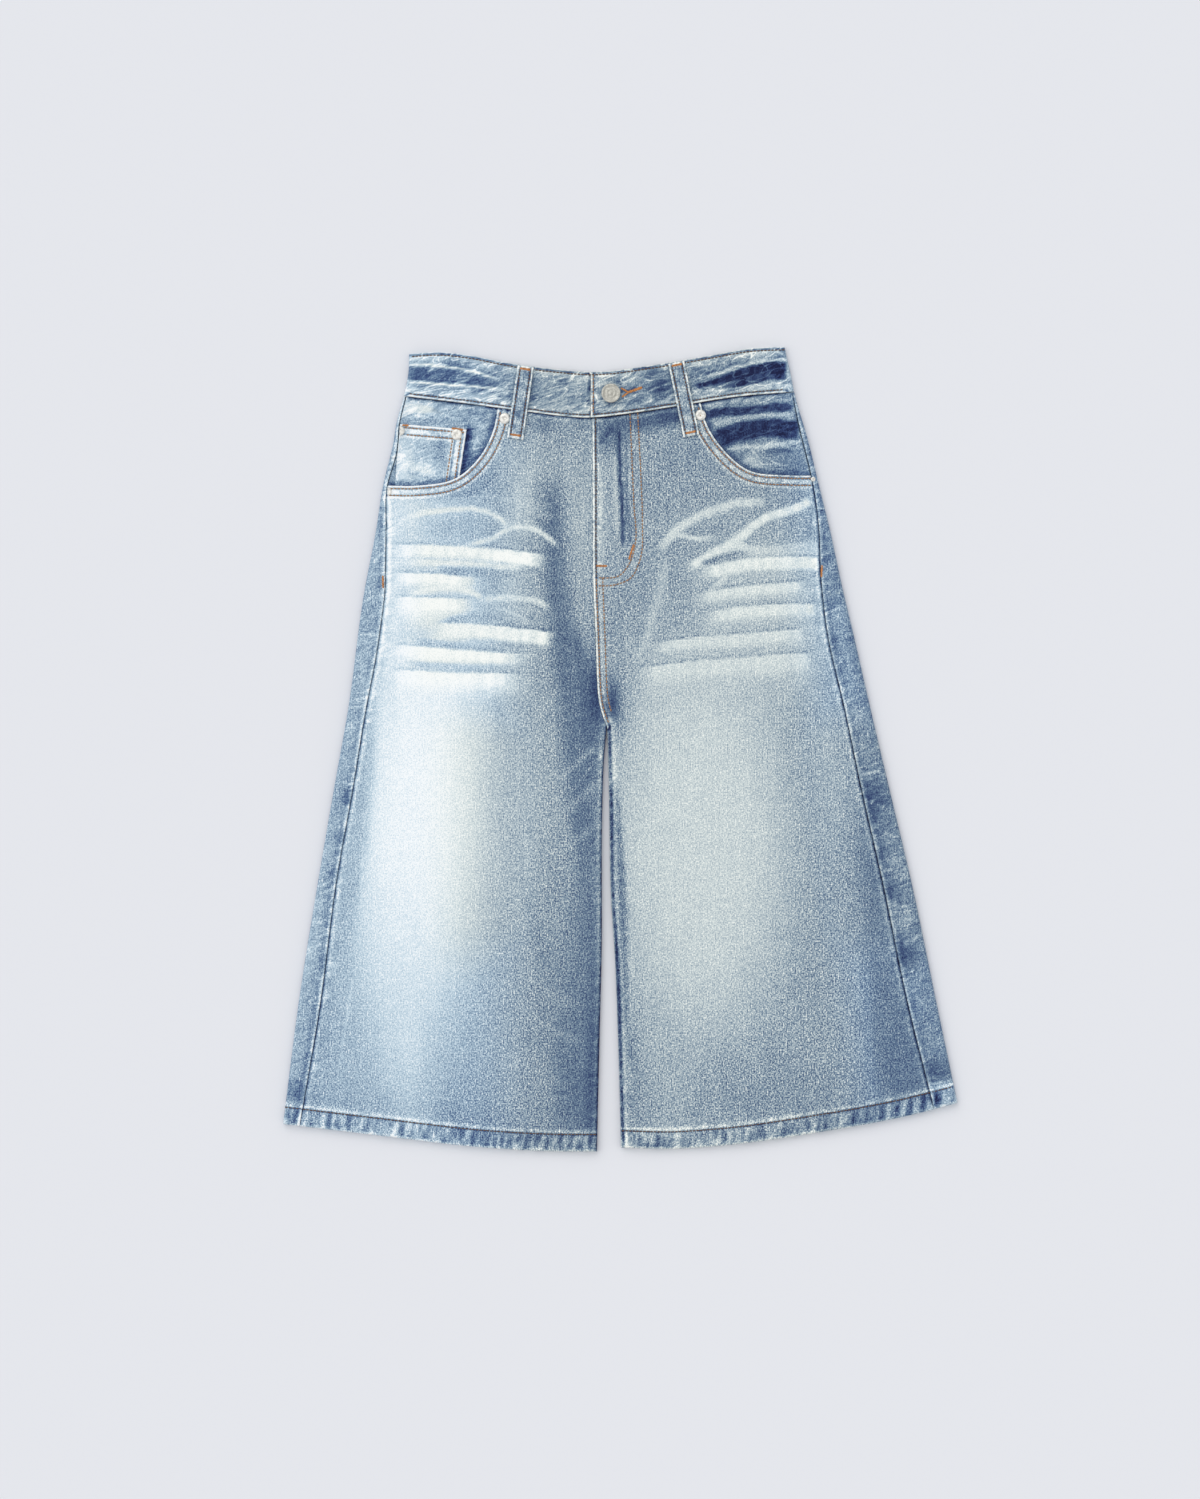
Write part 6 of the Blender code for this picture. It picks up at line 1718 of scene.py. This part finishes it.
def back_pocket(side):
    """A patch pocket of the underside, flat on the table."""

    def place(u, v):
        x, y = back_pocket_point(side, u, v)
        from_edge = np.minimum(np.minimum(u, 1 - u) * BACK_POCKET_TOP_WIDTH, v * BACK_POCKET_HEIGHT)
        from_top = (1 - v) * BACK_POCKET_SHOULDER
        tone = BASE_TONE["back_pocket"] + 0.10 * bell(from_top, 12, 6) - 0.10 * bell(from_edge, 5, 4)
        tone = tone + 0.14 * bell(u, 0.5, 0.3) * bell(v, 0.55, 0.3)
        relief = 0.2 * bell(from_top, 14, 1.2)
        finish = {
            "tone": tone, "crinkle": LOOP_CRINKLE, "rows": np.clip(1 - from_edge / SEAM_REACH, 0.0, 1.0),
            "row": np.clip(1 - from_top / SEAM_REACH, 0.0, 1.0)
        }
        return x, y, relief, finish

    return cloth_piece("back_pocket_" + side, spread(0.0, 1.0, 60), spread(0.0, 1.0, 64), place, flip=True)


# Stitching


# A stitch overlaps the next by a little, and lies flat; it stands proud of the cloth on top, and is sunk
# into the cloth that lies on the table
STITCH_OVERLAP = 1.04
STITCH_FLATNESS = 0.8
THREAD_PROUD = 0.1
THREAD_SUNK = 0.46
# From one stitch of a tack to the next, and how far along the tack each end of a stitch leans
TACK_PITCH = 0.85
TACK_SLANT = 0.3


def offset_line(points, offset):
    """The line moved to its left, with the length run at each of its points."""
    points = np.asarray(points, float)
    step = np.gradient(points, axis=0)
    step = step / np.hypot(step[:, 0], step[:, 1])[:, None]
    moved = points + offset * np.stack([-step[:, 1], step[:, 0]], axis=1)
    reach = np.concatenate([[0.0], np.cumsum(np.hypot(*np.diff(moved, axis=0).T))])
    return moved, reach


def side_of(piece):
    """The side whose lines a piece is drawn with; the coin pocket is on the right."""
    return "right" if piece.endswith("right") or piece == "coin_pocket" else "left"


def skin_height(piece, x, y):
    """The height of a piece's outer skin over plan points of the upper side."""
    side = side_of(piece)
    if piece == "waistband":
        relief = seam_relief("waistband", side, x, y, {})
        return waistband_height(x, y, x > LAP_END_X) + relief
    if piece == "coin_pocket":
        relief = seam_relief("coin_pocket", side, x, y, {})
        return upper_skin(side, x, y, facing_depth(side, x, y) - LAYER)[2] + relief
    if piece.startswith("back_"):
        return upper_skin(side, x, y, 0.0)[2] + seam_relief("strip_" + side, side, x, y, {})
    return upper_height(x, y) + seam_relief("front_" + side, side, x, y, {})


def row_stitches(points, share_from, share_to, height):
    """Ends of the stitches along a line: (start, end) points in millimetres."""
    moved, reach = points
    trim = bpy.context.scene.jeans_trim
    pitch, length = trim.stitch_pitch / MM, trim.stitch_length / MM
    starts = np.arange(share_from * reach[-1], share_to * reach[-1] - length, pitch)
    found = []
    for run in (starts, starts + length):
        x = np.interp(run, reach, moved[:, 0])
        y = np.interp(run, reach, moved[:, 1])
        found.append(np.stack([x, y, height(x, y)], axis=1))
    return list(zip(*found))


def tack_stitches(start, end, width, height):
    """Crossing stitches of a bar tack from start to end."""
    start, end = np.array(start), np.array(end)
    length = math.hypot(*(end - start))
    count = max(4, round(length / TACK_PITCH))
    ahead = (end - start) / length
    side = np.array([-ahead[1], ahead[0]])
    found = []
    for index in range(count):
        middle = start + ahead * length * (index + 0.5) / count
        reach = width / 2 * (1.0 + 0.15 * math.sin(5.0 * index))
        slant = ahead * TACK_SLANT
        pair = np.array([middle - side * reach - slant, middle + side * reach + slant])
        heights = height(pair[:, 0], pair[:, 1])
        found.append([np.array([*point, z]) for point, z in zip(pair, heights)])
    return found


def sew(name, stitches, thread):
    """One mesh of all the stitches of a kind on a piece, each a small rounded loop of thread."""
    trim = bpy.context.scene.jeans_trim
    colour = {"tan": trim.tan_thread, "hem": trim.hem_thread, "orange": trim.orange_thread}[thread]
    width = trim.thread_width / MM
    template = bmesh.new()
    bmesh.ops.create_uvsphere(template, u_segments=6, v_segments=4, radius=0.5)
    bmesh.ops.rotate(
        template, verts=template.verts, cent=(0, 0, 0), matrix=Matrix.Rotation(math.pi / 2, 3, "Y")
    )
    joined = bmesh.new()
    single = bpy.data.meshes.new("stitch")
    for start, end in stitches:
        ahead = Vector(end) - Vector(start)
        across = Vector((0.0, 0.0, 1.0)).cross(ahead).normalized()
        rise = ahead.normalized().cross(across)
        middle = (Vector(start) + Vector(end)) / 2
        axes = [ahead * STITCH_OVERLAP, across * width, rise * width * STITCH_FLATNESS, middle]
        place = Matrix([[axis[row] for axis in axes] for row in range(3)] + [(0, 0, 0, 1)])
        loop = template.copy()
        bmesh.ops.transform(loop, matrix=Matrix.Scale(MM, 4) @ place, verts=loop.verts)
        loop.to_mesh(single)
        loop.free()
        joined.from_mesh(single)
    template.free()
    mesh = meshed(joined, name)
    bpy.data.meshes.remove(single)
    mesh.shade_smooth()
    made = bpy.data.objects.new(name, mesh)
    finish = made_once(thread.capitalize() + " core-spun thread", thread_material, tuple(colour), 0.0012)
    return show(made, finish, "topstitch")


def under_skin(piece, x, y):
    """The height of thread sewn in a piece's outer skin over plan points of the underside."""
    if piece.startswith(("back_pocket", "belt_loop")):
        return np.full(np.shape(x), THREAD_SUNK)
    groove = 0.0 if piece == "waistband" else seam_relief("under", side_of(piece), x, y, {})
    return under_height(x, y) - groove + THREAD_SUNK


def sewn_pieces():
    """Makes all stitching, one piece for each cloth and thread."""
    work = {}

    def on_top(piece, x, y):
        return skin_height(piece, x, y) + THREAD_PROUD

    def sew_rows(rows, height):
        for piece, line, offsets, share_from, share_to, thread in rows:
            for offset in offsets:
                points = offset_line(seam_line(line, side_of(piece)), offset)
                stitches = row_stitches(points, share_from, share_to, lambda x, y: height(piece, x, y))
                work.setdefault((piece, thread), []).extend(stitches)

    sew_rows(STITCH_ROWS, on_top)
    sew_rows(UNDER_ROWS, under_skin)
    for piece, x_from, y_from, x_to, y_to, width in BAR_TACKS:
        stitches = tack_stitches((x_from, y_from), (x_to, y_to), width, lambda x, y: on_top(piece, x, y))
        work.setdefault((piece, "orange"), []).extend(stitches)
    for piece, (top_x, top_y, foot_x, foot_y) in FRONT_LOOPS.items():
        top, foot = np.array((top_x, top_y)), np.array((foot_x, foot_y))
        ahead = (top - foot) / np.sum((top - foot) ** 2)

        def bowed(x, y):
            return loop_height(x, y, (x - foot[0]) * ahead[0] + (y - foot[1]) * ahead[1]) - THREAD_PROUD

        sew_loop(piece, top, foot, bowed, work)
    for piece, centre in BACK_LOOPS.items():
        top = np.array((centre, float(through(WAIST_TOP, centre)) - BACK_LOOP_TOP))
        foot = np.array((centre, BACK_LOOP_FOOT_Y))
        sew_loop(piece, top, foot, lambda x, y: under_skin(piece, x, y), work)
    for (piece, thread), stitches in work.items():
        sew(f"{piece}_{thread}_stitching", stitches, thread)


def sew_loop(piece, top, foot, height, work):
    """The rows along a belt loop and the tacks at its ends."""
    length = math.hypot(*(top - foot))
    for offset in (LOOP_ROW, -LOOP_ROW):
        stitches = row_stitches(offset_line([foot, top], offset), *LOOP_ROW_SHARES, height)
        work.setdefault((piece, "hem"), []).extend(stitches)
    ahead = (top - foot) / length
    side = np.array([ahead[1], -ahead[0]])
    for run in (LOOP_TACKS[0], length - LOOP_TACKS[1]):
        middle = foot + ahead * run
        tack = tack_stitches(middle - side * LOOP_ROW, middle + side * LOOP_ROW, LOOP_TACK_WIDTH, height)
        work.setdefault((piece, "orange"), []).extend(tack)


# Metal trim


def turned_piece(name, profile, seat, cut_x=None):
    """A turned metal piece from its profile of (radius, height) in millimetres, spun on its axis and set on
    its seat. Where cut_x is given, what lies beyond that x is cut off."""
    bm = bmesh.new()
    verts = [bm.verts.new((radius, 0.0, height)) for radius, height in profile]
    edges = [bm.edges.new(pair) for pair in zip(verts, verts[1:])]
    bmesh.ops.spin(
        bm, geom=verts + edges, cent=(0, 0, 0), axis=(0, 0, 1), angle=2 * math.pi,
        steps=bpy.context.scene.jeans_trim.turned_sides, use_merge=True
    )
    bmesh.ops.remove_doubles(bm, verts=bm.verts, dist=0.001)
    bmesh.ops.translate(bm, verts=bm.verts, vec=seat)
    if cut_x is not None:
        cut = bmesh.ops.bisect_plane(
            bm, geom=bm.verts[:] + bm.edges[:] + bm.faces[:], plane_co=(cut_x, 0, 0), plane_no=(-1, 0, 0),
            clear_outer=True
        )
        rim = [item for item in cut["geom_cut"] if isinstance(item, bmesh.types.BMEdge)]
        bmesh.ops.holes_fill(bm, edges=rim, sides=0)
    bmesh.ops.recalc_face_normals(bm, faces=bm.faces)
    bmesh.ops.scale(bm, vec=(MM, MM, MM), verts=bm.verts)
    mesh = meshed(bm, name)
    mesh.shade_smooth()
    made = bpy.data.objects.new(name + "_metal", mesh)
    trim = bpy.context.scene.jeans_trim
    plate, colour = ("Bright", trim.rivet_colour)
    if name == "button":
        plate, colour = ("Satin", trim.button_colour)
    return show(made, made_once(plate + " nickel-plated brass", nickel, colour[:3]), "nickel", name)


def button():
    """A tack button: a rolled rim round a dished cap with one plain raised ring, on a short shank."""
    radius = BUTTON_DIAMETER / 2
    profile = [
        (0.0, 4.6), (1.4, 4.5), (2.0, 4.1), (2.8, 4.15), (3.2, 4.7), (4.0, 4.75), (4.5, 4.2), (5.6, 4.1),
        (6.4, 4.25), (6.9, 4.75), (7.5, 4.9), (8.0, 4.86), (radius - 0.12, 4.6), (radius, 4.1),
        (radius - 0.15, 3.6), (radius - 0.6, 3.2), (5.0, 2.2), (3.2, 1.8), (2.9, 0.0), (0.0, 0.0)
    ]
    seat = float(waistband_height(BUTTON_X, BUTTON_Y, True)) + SEAM_GAP
    return turned_piece("button", profile, (BUTTON_X, BUTTON_Y, seat))


def rivet_seat(name):
    """The height of the cloth under a rivet: the highest point around its rim."""
    side, x, y, diameter, half = RIVETS[name]
    turn = np.linspace(0.0, 2 * math.pi, 16, endpoint=False)
    rim_x = np.append(x + np.cos(turn) * diameter / 2, x)
    rim_y = np.append(y + np.sin(turn) * diameter / 2, y)
    if half:
        rim_x = np.maximum(rim_x, x)
    depth = facing_depth(side, rim_x, rim_y) - LAYER if "coin" in name else 0.0
    return float(np.max(upper_skin(side, rim_x, rim_y, depth)[2]))


def rivet(name):
    """A tubular rivet's burr: a domed ring round a sunk centre."""
    _, x, y, diameter, half = RIVETS[name]
    radius = diameter / 2
    profile = [
        (0.0, 0.1), (0.16 * radius, 0.1), (0.26 * radius, 0.3), (0.34 * radius, 1.15),
        (0.50 * radius, RIVET_HEIGHT), (0.68 * radius, 1.24), (0.86 * radius, 0.98), (0.97 * radius, 0.6),
        (radius, 0.3), (radius, 0.0), (0.0, 0.0)
    ]
    seat = (x, y, rivet_seat(name) + SEAM_GAP)
    return turned_piece(name, profile, seat, x if half else None)


# Floor, light and camera


def stage():
    """A plain pale floor, soft studio light from the upper left, and the camera straight above."""
    look = bpy.context.scene.jeans_stage
    bm = bmesh.new()
    bmesh.ops.create_grid(bm, x_segments=1, y_segments=1, size=look.floor_size / 2)
    bmesh.ops.translate(bm, verts=bm.verts, vec=(0, 0, -look.floor_drop))
    floor = bpy.data.objects.new("studio_floor", meshed(bm, "studio_floor"))
    floor.data.materials.append(made_once("Matt painted board", painted_board, tuple(look.floor_colour)))
    bpy.context.scene.collection.objects.link(floor)

    sun = bpy.data.lights.new("studio_softbox", "SUN")
    sun.energy = look.key_strength
    sun.angle = look.key_softness
    sun.color = KEY_COLOUR
    key = bpy.data.objects.new("studio_softbox", sun)
    key.rotation_euler = Vector(KEY_FROM).to_track_quat("Z", "Y").to_euler()
    bpy.context.scene.collection.objects.link(key)

    world = bpy.data.worlds.new("studio_room")
    world.use_nodes = True
    world.node_tree.nodes["Background"].inputs["Color"].default_value = ROOM_COLOUR
    world.node_tree.nodes["Background"].inputs["Strength"].default_value = look.room_light
    bpy.context.scene.world = world
    bpy.context.scene.view_settings.view_transform = "Standard"

    lens = bpy.data.cameras.new("photo_camera")
    lens.lens = CAMERA_LENS
    lens.sensor_width = CAMERA_SENSOR
    camera = bpy.data.objects.new("photo_camera", lens)
    distance = FRAME_HEIGHT * CAMERA_LENS / CAMERA_SENSOR
    camera.location = (FRAME_CENTRE[0] * MM, FRAME_CENTRE[1] * MM, distance * MM + 2 * FOLD_RADIUS * MM)
    bpy.context.scene.collection.objects.link(camera)
    bpy.context.scene.camera = camera


def painted_board(name, colour):
    """Board rolled with matt emulsion: even and dull, with a faint orange-peel texture of 2 mm."""
    made, tree = new_material(name)
    finish_surface(
        tree, grain(tree, 0.002, Detail=2.0), 0.02,
        {"Base Color": (*colour[:3], 1.0), "Roughness": 0.95, "Specular IOR Level": 0.1}
    )
    return made


# The photo's frame in the part's frame, in millimetres
FRAME_CENTRE = (-18.2, -0.7)
FRAME_HEIGHT = 1349.0
CAMERA_LENS = 200.0
CAMERA_SENSOR = 36.0
KEY_FROM = (-0.50, 0.50, 1.0)
KEY_COLOUR = (1.0, 0.99, 0.97)
ROOM_COLOUR = (0.97, 0.985, 1.0, 1.0)


# Settings that a user would change


def length_setting(name, description, default):
    return bpy.props.FloatProperty(name=name, description=description, default=default, unit="LENGTH")


def strength_setting(name, description, default, largest):
    return bpy.props.FloatProperty(
        name=name, description=description, default=default, min=0.0, max=largest
    )


def colour_setting(name, description, hex_colour):
    return bpy.props.FloatVectorProperty(
        name=name, description=description, default=srgb(hex_colour)[:3], subtype="COLOR", size=3, min=0.0,
        max=1.0
    )


class JeansClothSettings(bpy.types.PropertyGroup):
    """Sizes of the denim."""

    wall: length_setting("Cloth wall", "Thickness of one layer of denim", 0.0012)
    hem_wall: length_setting("Hem wall", "Thickness of the folded hem", 0.0024)
    waistband_wall: length_setting("Waistband wall", "Thickness of the waistband", 0.0020)
    loop_wall: length_setting("Belt loop wall", "Thickness of a front belt loop", 0.0016)
    yarn_spacing: length_setting("Yarn spacing", "Spacing of the drawn yarns", 0.0012)
    pepper: strength_setting("Salt and pepper", "Contrast between single yarns", 1.3, 2.0)
    slub: strength_setting("Slub", "Contrast of the streaks down the warp", 0.5, 2.0)
    crinkle: strength_setting("Crinkle", "Contrast of the crinkled places", 0.65, 2.0)


class JeansTrimSettings(bpy.types.PropertyGroup):
    """Sizes and colours of thread and metal."""

    stitch_pitch: length_setting("Stitch pitch", "From one stitch to the next", 0.0032)
    stitch_length: length_setting("Stitch length", "Length of thread that shows", 0.0028)
    thread_width: length_setting("Thread width", "Width of the topstitching thread", 0.0013)
    tan_thread: colour_setting("Tan thread", "Colour of the topstitching", "#A37C5A")
    hem_thread: colour_setting(
        "Hem thread", "Colour of the stitching at hems, waistband and loops", "#5F493D"
    )
    orange_thread: colour_setting("Orange thread", "Colour of the bar tacks and buttonhole", "#C08048")
    button_colour: colour_setting("Button", "Colour of the button's satin plating", "#C9C7BE")
    rivet_colour: colour_setting("Rivets", "Colour of the rivets' bright plating", "#F4F2EC")
    turned_sides: bpy.props.IntProperty(
        name="Turned sides", description="Sides of the button and the rivets", default=48, min=12, max=96
    )


class JeansStageSettings(bpy.types.PropertyGroup):
    """Floor and light."""

    floor_colour: colour_setting("Floor", "Colour of the floor", "#E5E6EB")
    floor_size: length_setting("Floor size", "Side of the square floor", 16.0)
    floor_drop: length_setting("Floor gap", "Gap between floor and cloth", 0.0003)
    key_strength: strength_setting("Key light", "Strength of the soft key light", 1.0, 20.0)
    key_softness: bpy.props.FloatProperty(
        name="Key softness", description="Angle that the key light fills", default=1.2, unit="ROTATION"
    )
    room_light: strength_setting("Room light", "Strength of the light from all round", 0.76, 5.0)


# Operators


class JEANS_OT_panels(bpy.types.Operator):
    """Front panels, back panels and yokes"""

    bl_idname = "jeans.panels"
    bl_label = "Front and Back Panels"

    def execute(self, context):
        for side in SIDE_SIGN:
            front(side)
            back(side)
            yoke(side)
        return {"FINISHED"}


class JEANS_OT_pockets(bpy.types.Operator):
    """Pocket facings, coin pocket and back pockets"""

    bl_idname = "jeans.pockets"
    bl_label = "Pockets"

    def execute(self, context):
        for side in SIDE_SIGN:
            pocket_facing(side)
            back_pocket(side)
        coin_pocket()
        return {"FINISHED"}


class JEANS_OT_waistband(bpy.types.Operator):
    """Waistband and belt loops"""

    bl_idname = "jeans.waistband"
    bl_label = "Waistband and Loops"

    def execute(self, context):
        waistband()
        for name in FRONT_LOOPS:
            front_loop(name)
        for name in BACK_LOOPS:
            back_loop(name)
        return {"FINISHED"}


class JEANS_OT_metal(bpy.types.Operator):
    """Tack button and rivets"""

    bl_idname = "jeans.metal"
    bl_label = "Button and Rivets"

    def execute(self, context):
        button()
        for name in RIVETS:
            rivet(name)
        return {"FINISHED"}


class JEANS_OT_stitching(bpy.types.Operator):
    """Topstitching, bar tacks and buttonhole"""

    bl_idname = "jeans.stitching"
    bl_label = "Stitching"

    def execute(self, context):
        sewn_pieces()
        return {"FINISHED"}


class JEANS_OT_stage(bpy.types.Operator):
    """Floor, light and camera"""

    bl_idname = "jeans.stage"
    bl_label = "Stage"

    def execute(self, context):
        stage()
        return {"FINISHED"}


OPERATORS = [
    JEANS_OT_panels, JEANS_OT_pockets, JEANS_OT_waistband, JEANS_OT_metal, JEANS_OT_stitching,
    JEANS_OT_stage
]


class JEANS_PT_panel(bpy.types.Panel):
    """Lists the jeans' settings and operators"""

    bl_idname = "JEANS_PT_panel"
    bl_label = "Jeans"
    bl_space_type = "VIEW_3D"
    bl_region_type = "UI"
    bl_category = "Jeans"

    def draw(self, context):
        for settings in (context.scene.jeans_cloth, context.scene.jeans_trim, context.scene.jeans_stage):
            box = self.layout.box()
            for name in settings.__annotations__:
                box.prop(settings, name)
        for operator in OPERATORS:
            self.layout.operator(operator.bl_idname)


CLASSES = [JeansClothSettings, JeansTrimSettings, JeansStageSettings, *OPERATORS, JEANS_PT_panel]


def register():
    for cls in CLASSES:
        bpy.utils.register_class(cls)
    bpy.types.Scene.jeans_cloth = bpy.props.PointerProperty(type=JeansClothSettings)
    bpy.types.Scene.jeans_trim = bpy.props.PointerProperty(type=JeansTrimSettings)
    bpy.types.Scene.jeans_stage = bpy.props.PointerProperty(type=JeansStageSettings)


def unregister():
    del bpy.types.Scene.jeans_stage
    del bpy.types.Scene.jeans_trim
    del bpy.types.Scene.jeans_cloth
    for cls in reversed(CLASSES):
        bpy.utils.unregister_class(cls)


def main():
    register()
    bpy.ops.jeans.panels()
    bpy.ops.jeans.pockets()
    bpy.ops.jeans.waistband()
    bpy.ops.jeans.metal()
    bpy.ops.jeans.stitching()
    bpy.ops.jeans.stage()


if __name__ == "__main__":
    main()
